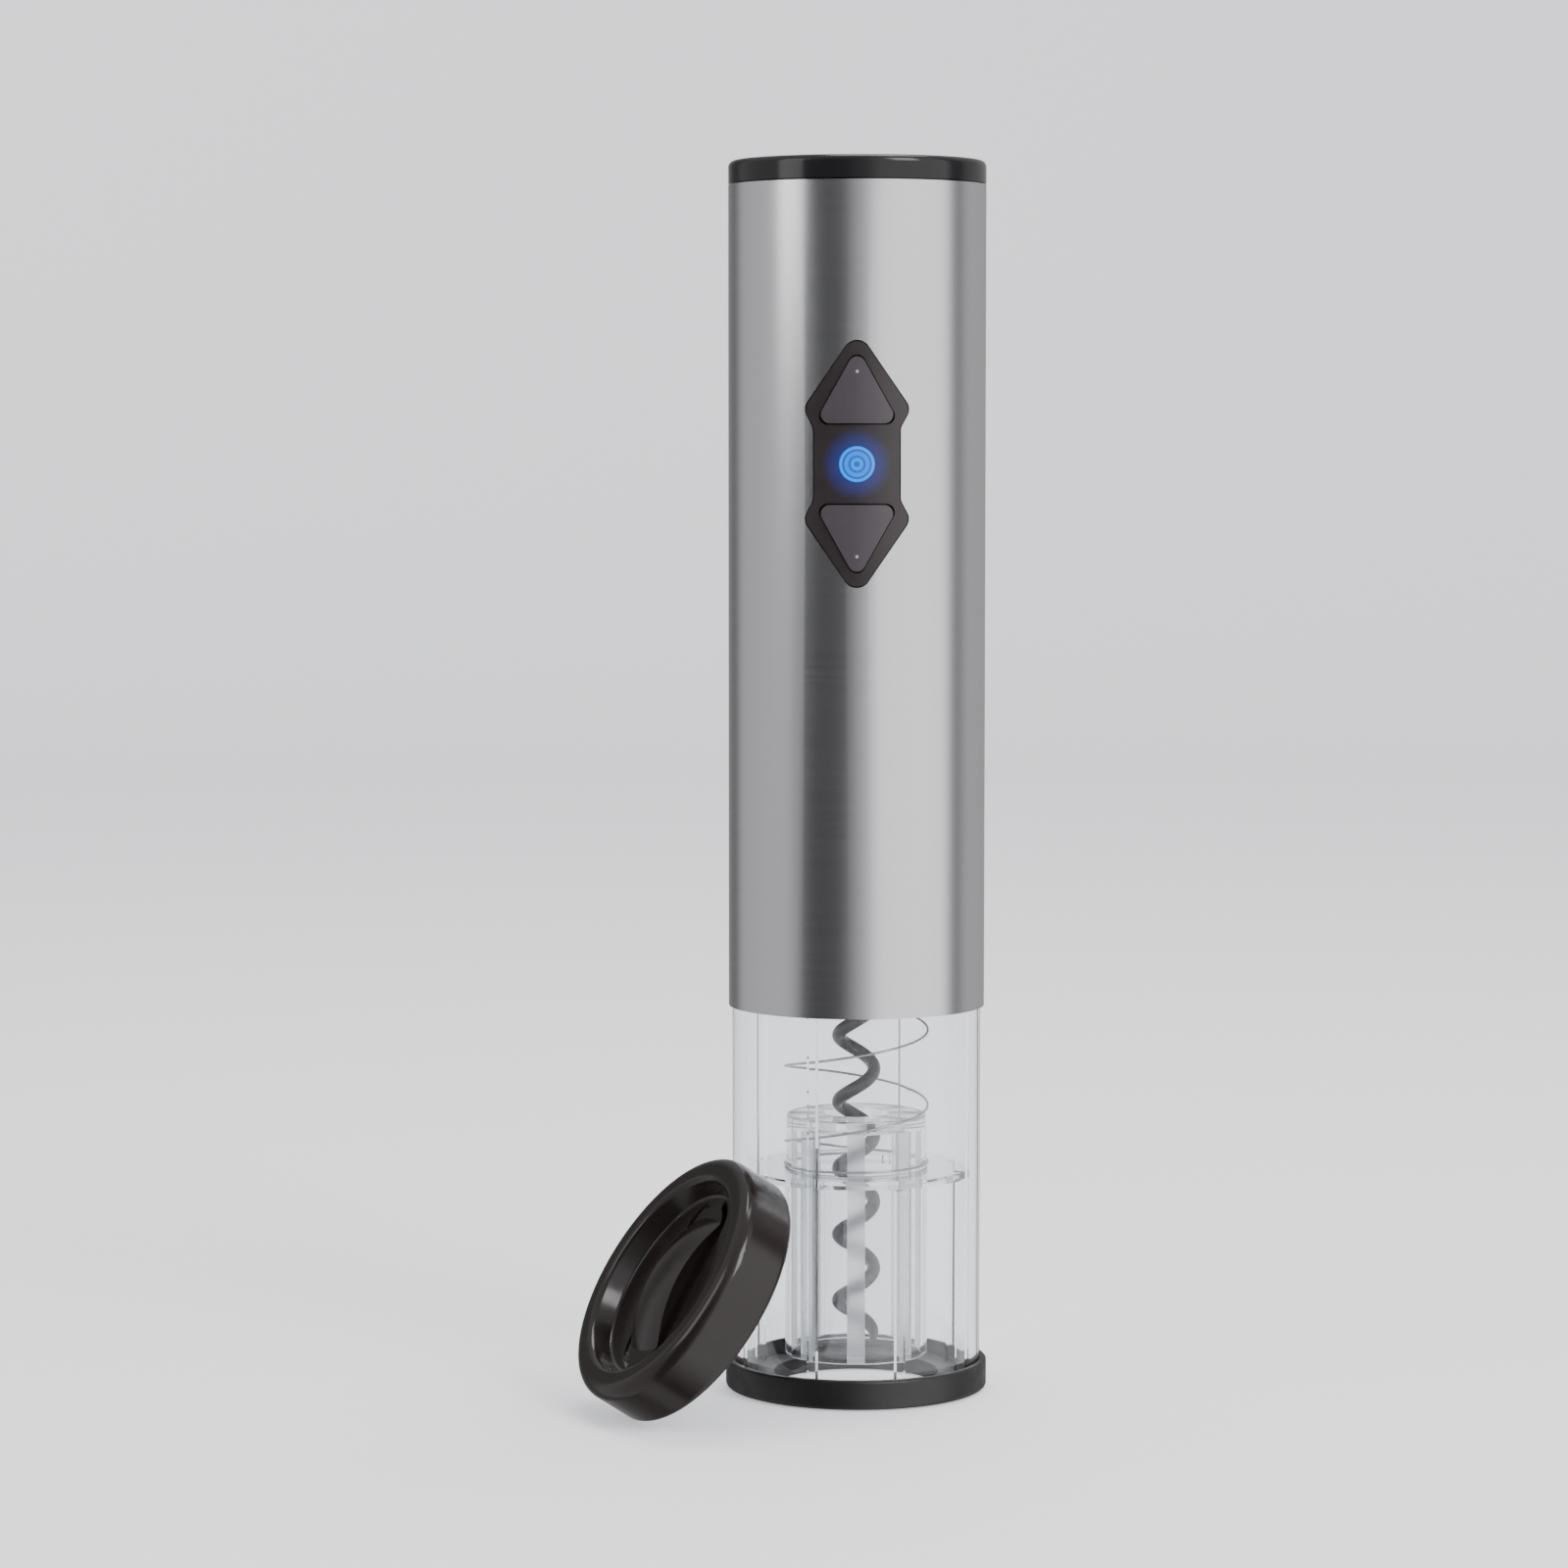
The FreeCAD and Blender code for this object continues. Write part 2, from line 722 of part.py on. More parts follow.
def chassis_half():
    """Half a turn of the chassis: wall, floor, spring boss, sleeve skirt, and ribs for what it carries."""
    seat_r = "gearbox_r + slip_gap/4"
    motor_seat_r = "motor_r + slip_gap/4"
    skirt_r = "sleeve_bore_r - slip_gap/2"
    rib_spans = [
        (seat_r, "gearbox_low"),
        (seat_r, "ring_low + 4*rib_thick"),
        (seat_r, "ring_top"),
        (motor_seat_r, "motor_low + 4*rib_thick"),
        (motor_seat_r, "can_top - 2*rib_thick"),
    ]
    corners = [
        ("hub_dia/2 + 1", "chassis_low"),
        ("collar_r - 3", "chassis_low"),
        ("collar_r - 3", "chassis_low - guide_spare + 1"),
        ("collar_r - slip_gap", "chassis_low - guide_spare + 1"),
        ("collar_r - slip_gap", "chassis_low"),
        (f"{skirt_r} - skirt_thick", "chassis_low"),
        (f"{skirt_r} - skirt_thick", "chassis_low - skirt_long"),
        (skirt_r, "chassis_low - skirt_long"),
        (skirt_r, "chassis_low"),
        ("inner_r", "chassis_low"),
        ("inner_r", "chassis_top"),
        ("chassis_bore_r", "chassis_top"),
    ]
    for rib_r, rib_low in reversed(rib_spans):
        corners += [
            ("chassis_bore_r", f"{rib_low} + rib_thick"),
            (rib_r, f"{rib_low} + rib_thick"),
            (rib_r, rib_low),
            ("chassis_bore_r", rib_low),
        ]
    corners += [
        ("chassis_bore_r", "chassis_floor_top"),
        ("hub_dia/2 + 1", "chassis_floor_top"),
    ]
    return turned(corners, 180)


CHASSIS_SCREW_HEIGHTS = ("(chassis_floor_top + gearbox_low)/2", "motor_low + 7*rib_thick")
BOSS_REACH = "sqrt(chassis_bore_r*chassis_bore_r - (boss_offset - boss_dia/2)*(boss_offset - boss_dia/2))"


def boss_spots():
    """Where the two halves are screwed together: left and right, low and high."""
    return [(f"({side})*boss_offset", height) for height in CHASSIS_SCREW_HEIGHTS for side in (-1, 1)]


def make_chassis_front():
    """Front half of the chassis, open behind the control panel."""
    half = spun(chassis_half(), 180)
    bosses = [cylinder("boss_dia/2", "0", BOSS_REACH, x, z, "front") for x, z in boss_spots()]
    bosses = common(fuse(*bosses), cylinder("inner_r - chassis_wall/2", "chassis_low", "chassis_top"))
    pilots = [cylinder("screw_dia/2", "-1", "boss_dia + 2", x, z, "front") for x, z in boss_spots()]
    window = block(
        ("-board_wide/2 - 2", "-body_r", "panel_centre - panel_tip - moving_gap"),
        ("board_wide/2 + 2", "-board_back + 1.7", "chassis_top + 1"),
    )
    screws = [radial_hole(angle, "screw_dia/2") for angle in SLEEVE_SCREW_ANGLES if angle > 180]
    return cut(fuse(half, bosses), window, *pilots, *screws)


def make_chassis_rear():
    """Rear half of the chassis, with the sunk screw holes."""
    half = chassis_half()
    bosses = [cylinder("boss_dia/2", f"-({BOSS_REACH})", "0", x, z, "front") for x, z in boss_spots()]
    bosses = common(fuse(*bosses), cylinder("inner_r - chassis_wall/2", "chassis_low", "chassis_top"))
    holes = [cylinder("screw_dia/2", "-body_r", "1", x, z, "front") for x, z in boss_spots()]
    sinks = [
        cylinder("screw_head_dia/2 + slip_gap/2", "-body_r", "-boss_dia - screw_head_thick/2", x, z, "front")
        for x, z in boss_spots()
    ]
    screws = [radial_hole(angle, "screw_dia/2") for angle in SLEEVE_SCREW_ANGLES if angle < 180]
    return cut(fuse(half, bosses), *holes, *sinks, *screws)


def make_chassis_screws():
    """Four screws that close the chassis and four that hold the clear sleeve."""
    screws = []
    for x, z in boss_spots():
        head_seat = "-boss_dia - screw_head_thick/2"
        shank = cylinder("screw_dia/2", head_seat, "boss_dia + 1", x, z, "front")
        head = cylinder("screw_head_dia/2", f"{head_seat} - screw_head_thick", head_seat, x, z, "front")
        screws.append(fuse(shank, head))
    for angle in SLEEVE_SCREW_ANGLES:
        shank = radial_hole(angle, "screw_dia/2")
        head = radial_hole(angle, "screw_head_dia/2", "inner_r - screw_head_thick")
        screws.append(fuse(shank, head))
    return several(screws)


# ---------------------------------------------------------------------------------------------
# Two-stage planetary gearbox
# ---------------------------------------------------------------------------------------------

PRESSURE_ANGLE = math.radians(20)
TOOTH_TIP = 0.8
TOOTH_ROOT = 1.05


def involute(angle):
    """The involute function."""
    return math.tan(angle) - angle


def gear_wire(teeth, first_tooth, inner=False):
    """Outline of a spur gear, or of the hole inside a ring gear, with straight-sided involute teeth."""
    module = size("gear_module")
    pitch_r = module * teeth / 2
    tips = -1 if inner else 1
    thin = -tips * size("tooth_thinning") / (2 * pitch_r)
    radii = [pitch_r - TOOTH_ROOT * module, pitch_r + TOOTH_TIP * module]
    if inner:
        radii = [pitch_r - TOOTH_TIP * module, pitch_r + TOOTH_ROOT * module]
    base_r = pitch_r * math.cos(PRESSURE_ANGLE)
    spread = []
    for radius in radii:
        slant = math.acos(min(1.0, base_r / radius))
        spread.append(math.pi / (2 * teeth) + thin + involute(PRESSURE_ANGLE) - involute(slant))
    points = []
    shift = 0.5 if inner else 0.0
    for tooth in range(teeth):
        middle = math.radians(first_tooth) + 2 * math.pi * (tooth + shift) / teeth
        for radius, turn in (
            (radii[0], -spread[0]),
            (radii[1], -spread[1]),
            (radii[1], spread[1]),
            (radii[0], spread[0]),
        ):
            points.append(Vector(radius * math.cos(middle + turn), radius * math.sin(middle + turn), 0))
    return Part.makePolygon(points + points[:1])


def gear_bar(teeth, first_tooth, low, high):
    """A solid bar with spur teeth along it."""
    face = Part.Face(gear_wire(teeth, first_tooth))
    bar = face.extrude(Vector(0, 0, size(high) - size(low)))
    bar.translate(Vector(0, 0, size(low)))
    return bar


def make_planet(angle, low, high):
    """A planet gear on its orbit, with a gap towards the sun and another towards the ring."""
    teeth = int(size("planet_teeth"))
    bar = gear_bar(teeth, 180 / teeth, low, high)
    bore_r = size("planet_pin_dia/2 + running_gap")
    bore = Part.makeCylinder(bore_r, size(f"{high} - {low}"), Vector(0, 0, size(low)))
    planet = bar.cut(bore)
    planet.translate(Vector(size("orbit_r"), 0, 0))
    planet.rotate(Vector(), Vector(0, 0, 1), angle)
    return solid(planet)


def make_ring_gear():
    """Fixed ring gear that is also the gearbox's wall."""
    teeth = int(size("sun_teeth + 2*planet_teeth"))
    hole = Part.Face(gear_wire(teeth, 0, inner=True)).extrude(Vector(0, 0, size("ring_top - ring_low")))
    hole.translate(Vector(0, 0, size("ring_low")))
    wall = cylinder("gearbox_r", "ring_low", "ring_top")
    return cut(wall, solid(hole), *gearbox_screw_bars("ring_low - 1", "ring_top + 1", "screw_dia/2"))


def gearbox_screw_bars(low, high, radius):
    """Four bars on the gearbox's screw circle."""
    bars = []
    for k in range(4):
        x, y = polar("gearbox_screw_offset", 45 + 90 * k)
        bars.append(cylinder(radius, low, high, x, y))
    return bars


def make_gearbox_cover():
    """Lower cover of the gearbox, with the seat of the output bush."""
    disc = ring("bush_dia/2", "gearbox_r", "gearbox_low", "ring_low")
    return cut(disc, *gearbox_screw_bars("gearbox_low - 1", "ring_low + 1", "screw_dia/2"))


def make_output_bush():
    """Bronze bush for the output shaft."""
    return ring("output_r + running_gap", "bush_dia/2", "gearbox_low", "ring_low")


def motor_screw_bars(low, high, radius):
    """Two bars on the motor's own screw holes."""
    return [cylinder(radius, low, high, f"({side})*motor_r*0.66", 0) for side in (-1, 1)]


def make_motor_plate():
    """Plate that closes the gearbox and carries the motor."""
    disc = ring("motor_boss_dia/2", "gearbox_r", "ring_top", "motor_low")
    bars = gearbox_screw_bars("ring_top - 1", "motor_low + 1", "screw_dia/2")
    bars += motor_screw_bars("ring_top - 1", "motor_low + 1", "screw_dia/2")
    return cut(disc, *bars)


def make_gearbox_screws():
    """Four long screws through the gearbox, and two short ones into the motor."""
    screws = []
    for k in range(4):
        x, y = polar("gearbox_screw_offset", 45 + 90 * k)
        head = cylinder("screw_head_dia/2", "gearbox_low - screw_head_thick", "gearbox_low", x, y)
        shank = cylinder("screw_dia/2", "gearbox_low", "motor_low", x, y)
        screws.append(fuse(head, shank))
    head_low = "ring_top - axial_gap"
    heads = motor_screw_bars(head_low, "ring_top", "screw_head_dia/2")
    shanks = motor_screw_bars(head_low, "motor_low + 2*motor_can_wall", "screw_dia/2")
    screws += [fuse(head, shank) for head, shank in zip(heads, shanks)]
    return several(screws)


def carrier(stage, low, top, pin_top):
    """A carrier disc with three planet pins."""
    disc = cylinder("carrier_dia/2", low, top)
    pins = []
    for k in range(3):
        x, y = polar("orbit_r", 120 * k)
        pins.append(cylinder("planet_pin_dia/2", low, pin_top, x, y))
    return fuse(disc, *pins, stage)


def make_stage1_carrier():
    """First carrier, whose hub is the second stage's sun gear."""
    sun = solid(gear_bar(int(size("sun_teeth")), 0, "planet2_low - axial_gap/2", "carrier1_low"))
    return carrier(sun, "carrier1_low", "carrier1_top", "planet1_top")


def make_stage2_carrier():
    """Second carrier, with the output shaft that turns the worm's hub."""
    shaft = cylinder("output_r", "hub_shank_top + axial_gap", "carrier2_low")
    body = carrier(shaft, "carrier2_low", "carrier2_top", "planet2_top")
    return cut(body, hub_pin_bar("hub_dia"))


# ---------------------------------------------------------------------------------------------
# Motor
# ---------------------------------------------------------------------------------------------


def make_motor_can():
    """Steel can, open at the top, with a bearing boss at the bottom."""
    can = turned([
        ("motor_boss_dia/2", "motor_low"),
        ("motor_r", "motor_low", "motor_can_wall"),
        ("motor_r", "can_top"),
        ("motor_r - motor_can_wall", "can_top"),
        ("motor_r - motor_can_wall", "motor_low + motor_can_wall"),
        ("motor_boss_dia/2", "motor_low + motor_can_wall"),
    ])
    return cut(can, *motor_screw_bars("motor_low - 1", "motor_low + 2*motor_can_wall", "screw_dia/2"))


def make_motor_end_bell():
    """Plastic end of the motor."""
    return turned([
        ("motor_boss_dia/2 - slip_gap", "can_top"),
        ("motor_r", "can_top"),
        ("motor_r", "bell_top", "motor_can_wall"),
        ("motor_boss_dia/2 - slip_gap", "bell_top"),
    ])


def make_motor_bushes():
    """The two sintered bushes that carry the motor's shaft."""
    bore = "motor_shaft_dia/2 + running_gap"
    front = ring(bore, "motor_boss_dia/2", "ring_top + axial_gap", "motor_low + 2*motor_can_wall")
    rear_low = "can_top + motor_bell_long/3"
    rear_top = "bell_top - motor_bell_long/9"
    rear = ring(bore, "motor_boss_dia/2 - slip_gap", rear_low, rear_top)
    return several([front, rear])


def make_motor_magnets():
    """Two curved magnets inside the can."""
    outer = "motor_r - motor_can_wall - running_gap"
    arcs = []
    for start in (-60, 120):
        corners = [
            (f"{outer} - magnet_thick", "motor_low + 3.5"),
            (outer, "motor_low + 3.5"),
            (outer, "can_top - 3"),
            (f"{outer} - magnet_thick", "can_top - 3"),
        ]
        arcs.append(spun(turned(corners, 120), start))
    return several(arcs)


ROTOR_LOW = "motor_low + 6"
ROTOR_TOP = "motor_low + 6 + rotor_long"


def make_rotor_core():
    """Three-pole laminated core."""
    hub = cylinder("rotor_hub_r", ROTOR_LOW, ROTOR_TOP)
    arms = []
    for k in range(3):
        arm = block((0, "-rotor_dia*0.08", ROTOR_LOW), ("rotor_dia*0.45", "rotor_dia*0.08", ROTOR_TOP))
        arms.append(spun(arm, 120 * k))
        shoe = turned([
            ("rotor_tooth_r", ROTOR_LOW),
            ("rotor_dia/2", ROTOR_LOW),
            ("rotor_dia/2", ROTOR_TOP),
            ("rotor_tooth_r", ROTOR_TOP),
        ], 100)
        arms.append(spun(shoe, 120 * k - 50))
    return cut(fuse(hub, *arms), cylinder("motor_shaft_dia/2", ROTOR_LOW, ROTOR_TOP))


def make_rotor_windings():
    """One copper coil around each arm of the core."""
    coils = []
    for k in range(3):
        outer = block(
            ("winding_in_r", "-rotor_hub_r", f"{ROTOR_LOW} - winding_over"),
            ("winding_out_r", "rotor_hub_r", f"{ROTOR_TOP} + winding_over"),
        )
        arm = block((0, "-rotor_dia*0.08", ROTOR_LOW), ("rotor_dia*0.45", "rotor_dia*0.08", ROTOR_TOP))
        coils.append(spun(cut(outer, arm), 120 * k))
    return several(coils)


COMMUTATOR_LOW = "can_top - 3.2"


def make_commutator():
    """Commutator between the core and the end bell."""
    return ring("motor_shaft_dia/2", "commutator_dia/2", COMMUTATOR_LOW, "can_top - moving_gap")


def make_motor_brushes():
    """Two brush blocks hanging from the end bell."""
    brushes = []
    for side in (0, 180):
        brush = block(
            ("commutator_dia/2 + running_gap", -1, f"{COMMUTATOR_LOW} + 0.5"),
            ("commutator_dia/2 + 2", 1, "can_top"),
        )
        brushes.append(spun(brush, 90 + side))
    return several(brushes)


def make_motor_shaft():
    """Steel shaft from the first sun gear to the rear bush."""
    return cylinder("motor_shaft_dia/2", "carrier1_top + axial_gap/2", "bell_top")


def make_sun_pinion():
    """Pinion pressed on the motor's shaft."""
    bar = gear_bar(int(size("sun_teeth")), 0, "carrier1_top + axial_gap/2", "planet1_top")
    return cut(solid(bar), cylinder("motor_shaft_dia/2", "carrier1_top", "ring_top"))


# ---------------------------------------------------------------------------------------------
# Batteries and cap
# ---------------------------------------------------------------------------------------------


def cell_spots():
    """Centres of the four cells."""
    corners = ((-1, -1), (1, -1), (1, 1), (-1, 1))
    return [(f"({sx})*cell_offset", f"({sy})*cell_offset") for sx, sy in corners]


def make_battery_holder():
    """Moulded block with four bores, a flat for the circuit board and notches for the cap's lugs."""
    block_body = turned([
        (0, "holder_low"),
        ("inner_r", "holder_low"),
        ("inner_r", "neck_low"),
        ("holder_neck_r", "neck_low"),
        ("holder_neck_r", "holder_top"),
        (0, "holder_top"),
    ])
    bores = [cylinder("cell_bore_r", "contact_low", "holder_top + 1", x, y) for x, y in cell_spots()]
    flat = block(
        ("-board_wide/2 - 1.5", "-body_r", "holder_low - 1"),
        ("board_wide/2 + 1.5", "-board_back", "board_top + 1.5"),
    )
    lead_holes = []
    hole_r = "lead_dia/2 + slip_gap/2"
    for side in (-1, 1):
        x = f"({side})*battery_lead_x"
        lead_holes.append(cylinder(hole_r, "holder_low - 1", "contact_low + 1", x, "-battery_lead_y"))
    notches = [spun(make_notch(), start) for start in (0, 180)]
    return cut(block_body, *bores, flat, *lead_holes, *notches)


def make_notch():
    """An open notch that a cap lug turns in and lifts out of."""
    sector = turned([
        ("notch_r", "lug_low - 1.5"),
        ("holder_neck_r + 1", "lug_low - 1.5"),
        ("holder_neck_r + 1", "holder_top + 1"),
        ("notch_r", "holder_top + 1"),
    ], "cap_twist_angle + lug_angle + 6")
    sector.setExpression("Placement.Rotation.Angle", formula("-lug_angle/2 - 3"))
    return sector


def make_aa_cells():
    """Four AA cells, two up and two down."""
    cells = []
    for k, (x, y) in enumerate(cell_spots()):
        up = k % 2 == 0
        can_low = "cell_low" if up else "cell_low + cell_nub_long"
        can_top = "cell_top - cell_nub_long" if up else "cell_top"
        can = cylinder("cell_dia/2", can_low, can_top, x, y)
        nub = cylinder("cell_nub_dia/2", "cell_low + 1", "cell_top", x, y)
        if not up:
            nub = cylinder("cell_nub_dia/2", "cell_low", "cell_top - 1", x, y)
        cells.append(fuse(can, nub))
    return several(cells)


def make_lower_contacts():
    """Two end plates at the front and one bridge at the rear, with a raised dimple under each nub."""
    top = "contact_low + contact_thick"
    front = []
    for k, (x, y) in enumerate(cell_spots()):
        plate_disc = cylinder("contact_plate_r", "contact_low", top, x, y)
        if k % 2:
            plate_disc = fuse(plate_disc, cylinder("cell_nub_dia/3", "contact_low", "cell_low", x, y))
        front.append(plate_disc)
    return several(front)


def make_contact_springs():
    """Coil springs under the two cells that stand nub up."""
    springs = []
    wire_r = size("contact_thick/2")
    low = size("contact_low + contact_thick") + wire_r
    high = size("cell_low") - wire_r
    for k, (x, y) in enumerate(cell_spots()):
        if k % 2 == 0:
            spring = coil(size("cell_dia*0.25"), wire_r, (high - low) / 2, low, high, 0.0, SPRING_SIDES)
            spring.translate(Vector(size(x), size(y), 0))
            springs.append(solid(spring))
    return several(springs)


def make_battery_cap():
    """Cap with a skirt that plugs into the steel sleeve and two inner lugs."""
    shell = turned([
        (0, "crown_low"),
        ("skirt_bore_r", "crown_low"),
        ("skirt_bore_r", "cap_skirt_low"),
        ("skirt_out_r", "cap_skirt_low", "cap_round/3"),
        ("skirt_out_r", "cap_low"),
        ("body_r", "cap_low"),
        ("body_r", "total_height", "cap_round"),
        (0, "total_height"),
    ])
    lugs = []
    for start in (0, 180):
        lug = turned([
            ("skirt_bore_r - lug_deep", "lug_low"),
            ("skirt_bore_r + cap_skirt_wall/4", "lug_low"),
            ("skirt_bore_r + cap_skirt_wall/4", "lug_low + lug_high"),
            ("skirt_bore_r - lug_deep", "lug_low + lug_high"),
        ], "lug_angle")
        lug.setExpression("Placement.Rotation.Angle", formula("-lug_angle/2"))
        lugs.append(spun(lug, start))
    return fuse(shell, *lugs)


def make_cap_seal():
    """Flat seal on the holder's shoulder, under the cap's skirt."""
    return ring("holder_neck_r + slip_gap/2", "inner_r", "neck_low", "neck_low + seal_thick")


def make_cap_carrier():
    """Disc under the crown that carries the upper contacts and stays put while the cap is turned."""
    return cylinder("skirt_bore_r - lug_deep - moving_gap", "cap_carrier_low", "cap_carrier_top")


def make_cap_contacts():
    """Two bridges that join the cells in pairs at the top."""
    bridges = []
    for side in (-1, 1):
        middle = f"({side})*cell_offset"
        bottom = "cap_carrier_low - contact_thick"
        bridge = block(
            (f"{middle} - cell_nub_dia/2", "-cell_offset - cell_nub_dia/2", bottom),
            (f"{middle} + cell_nub_dia/2", "cell_offset + cell_nub_dia/2", "cap_carrier_low"),
        )
        bridges.append(bridge)
    return several(bridges)


# ---------------------------------------------------------------------------------------------
# Control panel, buttons and circuit board
# ---------------------------------------------------------------------------------------------


def front_shell(corners, inner, outer):
    """The part of an outline's forward pad that lies between two radii."""
    pad = plate(corners, "board_back", "button_out_r + 2", "front")
    shell = ring(inner, outer, "panel_centre - panel_tip - 3", "panel_centre + panel_tip + 3")
    return common(pad, shell)


def make_control_panel():
    """Curved panel with openings for the buttons and the lens, and two posts to the circuit board."""
    shell = front_shell(panel_corners("0"), "panel_in_r", "panel_out_r")
    posts = []
    for side in (-1, 1):
        x = f"({side})*panel_post_offset"
        post = cylinder("panel_post_dia/2", "board_front", "panel_in_r - 0.3", x, "panel_centre", "front")
        posts.append(post)
    holes = [
        plate(button_corners(side, "button_gap"), "board_back", "button_out_r + 1", "front")
        for side in (-1, 1)
    ]
    hole_r = "lens_dia/2 + lens_gap"
    lens_hole = cylinder(hole_r, "board_back", "button_out_r + 1", 0, "panel_centre", "front")
    return cut(fuse(shell, *posts), *holes, lens_hole)


def make_button(side):
    """A triangular button with a hidden flange, and a stub that meets its switch."""
    face = front_shell(button_corners(side, "0"), "flange_in_r", "button_out_r")
    flange = front_shell(button_corners(side, "button_flange"), "flange_in_r", "flange_out_r")
    stub = cylinder("plunger_dia/2", "plunger_front", "flange_in_r + 0.3", 0, button_z(side), "front")
    return fuse(face, flange, stub)


def button_z(side):
    """Height of a button's stub and of its switch."""
    return f"panel_centre + ({side})*button_middle"


def make_plunger(side):
    """The moving stem of a switch."""
    return cylinder("plunger_dia/2", "switch_front - 0.8", "plunger_front", 0, button_z(side), "front")


def make_tact_switches():
    """Two switch bodies on the circuit board, each with a well for its stem."""
    bodies = []
    for side in (-1, 1):
        z = button_z(side)
        box = block(
            ("-switch_wide/2", "-switch_front", f"{z} - switch_wide/2"),
            ("switch_wide/2", "-board_front", f"{z} + switch_wide/2"),
        )
        well_back = "switch_front - button_travel - switch_spare"
        well = cylinder("plunger_dia/2 + moving_gap/3", well_back, "switch_front + 1", 0, z, "front")
        bodies.append(cut(box, well))
    return several(bodies)


def make_indicator_lens():
    """Round clear lens, slightly proud of the panel, with a flange behind it."""
    face = cylinder("lens_dia/2", "board_front + 2.4", "button_out_r + 2", 0, "panel_centre", "front")
    flange = cylinder("lens_dia/2 + 0.7", "board_front + 2.4", "panel_in_r - 0.6", 0, "panel_centre", "front")
    limit = ring("board_front + 1", "panel_out_r + 0.15", "panel_centre - 8", "panel_centre + 8")
    return common(fuse(face, flange), limit)


def make_indicator_led():
    """Lamp on the circuit board behind the lens."""
    return block(
        (-1.6, "-board_front - 1.6", "panel_centre - 1.6"),
        (1.6, "-board_front", "panel_centre + 1.6"),
    )


def make_pcb():
    """Circuit board behind the control panel."""
    return block(
        ("-board_wide/2", "-board_front", "board_low"),
        ("board_wide/2", "-board_back", "board_top"),
    )


def make_motor_leads():
    """Two wires from the motor's end bell to the circuit board."""
    leads = []
    start_x, end_x, top = size("motor_r*0.66"), size("board_wide/3"), size("motor_lead_top")
    for side in (-1, 1):
        route = [
            Vector(side * start_x, 0, size("bell_top")),
            Vector(side * start_x, 0, top),
            Vector(side * end_x, -size("board_back - lead_straight"), top),
            Vector(side * end_x, -size("board_back"), top),
        ]
        leads.append(solid(pipe(route, size("lead_dia/2"), 0.9)))
    return several(leads)


def make_battery_leads():
    """Two wires from the lower contacts to the circuit board."""
    leads = []
    for side in (-1, 1):
        x, y, z = side * size("battery_lead_x"), -size("battery_lead_y"), size("holder_low - 1.2")
        route = [
            Vector(x, y, size("contact_low")),
            Vector(x, y, z),
            Vector(x, -size("board_back"), z),
        ]
        leads.append(solid(pipe(route, size("lead_dia/2"), 1.6)))
    return several(leads)


# ---------------------------------------------------------------------------------------------
# Foil cutter, modelled flat on its back and then leaned on the sleeve
# ---------------------------------------------------------------------------------------------


def obround(long, wide):
    """Outline of a long plate with round ends."""
    rounding = f"({wide})/2 - 0.05"
    return [
        (f"-({long})/2", f"-({wide})/2", rounding),
        (f"({long})/2", f"-({wide})/2", rounding),
        (f"({long})/2", f"({wide})/2", rounding),
        (f"-({long})/2", f"({wide})/2", rounding),
    ]


def wheel_spots():
    """Centres of the four cutting wheels: a pair at each end of the grip."""
    turns = [f"{middle} + ({side})*wheel_spread" for middle in (90, 270) for side in (-1, 1)]
    return [polar("wheel_offset", turn) for turn in turns]


def make_foil_shell():
    """Round shell with a dished front, a grip between two slits, and a pocket for the bottle's lip."""
    inner_wall = "foil_r - foil_round - slip_gap/2"
    shell = turned([
        (0, "foil_pocket_deep"),
        ("foil_pocket_r", "foil_pocket_deep"),
        ("foil_pocket_r", "foil_cover_thick"),
        (inner_wall, "foil_cover_thick"),
        (inner_wall, 0),
        ("foil_r", 0, "foil_round/2"),
        ("foil_r", "foil_thick", "foil_round"),
        ("foil_r - foil_rim", "foil_thick", "foil_round/2"),
        ("foil_r - foil_rim - 1.5", "foil_web_top", "foil_round/4"),
        (0, "foil_web_top"),
    ])
    grip_top = "foil_web_top + foil_grip_high"
    grip = plate(obround("foil_grip_long", "foil_grip_wide"), "foil_pocket_deep", grip_top)
    dome_r = "foil_grip_long*0.9"
    dome = doc.addObject("Part::Sphere", "dome")
    dome.setExpression("Radius", formula(dome_r))
    place(dome, 0, 0, f"foil_web_top + foil_grip_high - {dome_r}")
    slit_out = plate(
        obround("foil_grip_long + 2*foil_slit_wide", "foil_grip_wide + 2*foil_slit_wide"),
        "foil_pocket_deep - 1",
        "foil_web_top + 1",
    )
    slit_in = plate(
        obround("foil_grip_long", "foil_grip_wide"), "foil_pocket_deep - 1", "foil_web_top + 1"
    )
    neck = block(
        ("-foil_r", "-foil_neck_wide/2", "foil_pocket_deep - 2"),
        ("foil_r", "foil_neck_wide/2", "foil_web_top + 2"),
    )
    slit = cut(slit_out, slit_in, neck)
    recesses = []
    recess_top = "wheel_top + moving_gap"
    for x, y in wheel_spots():
        recesses.append(cylinder("wheel_r + moving_gap", "foil_cover_thick - 1", recess_top, x, y))
        recesses.append(cylinder("wheel_pin_dia/2", "foil_cover_thick", "foil_pocket_deep + 1", x, y))
    return cut(fuse(cut(shell, slit), common(grip, dome)), *recesses)


def make_foil_cover():
    """Ring that closes the back of the shell and holds the wheels in."""
    cover = ring("foil_pocket_r", "foil_r - foil_round - slip_gap", "moving_gap", "foil_cover_thick")
    return cut(cover, *[cylinder("wheel_pin_dia/2", -1, "foil_thick", x, y) for x, y in wheel_spots()])


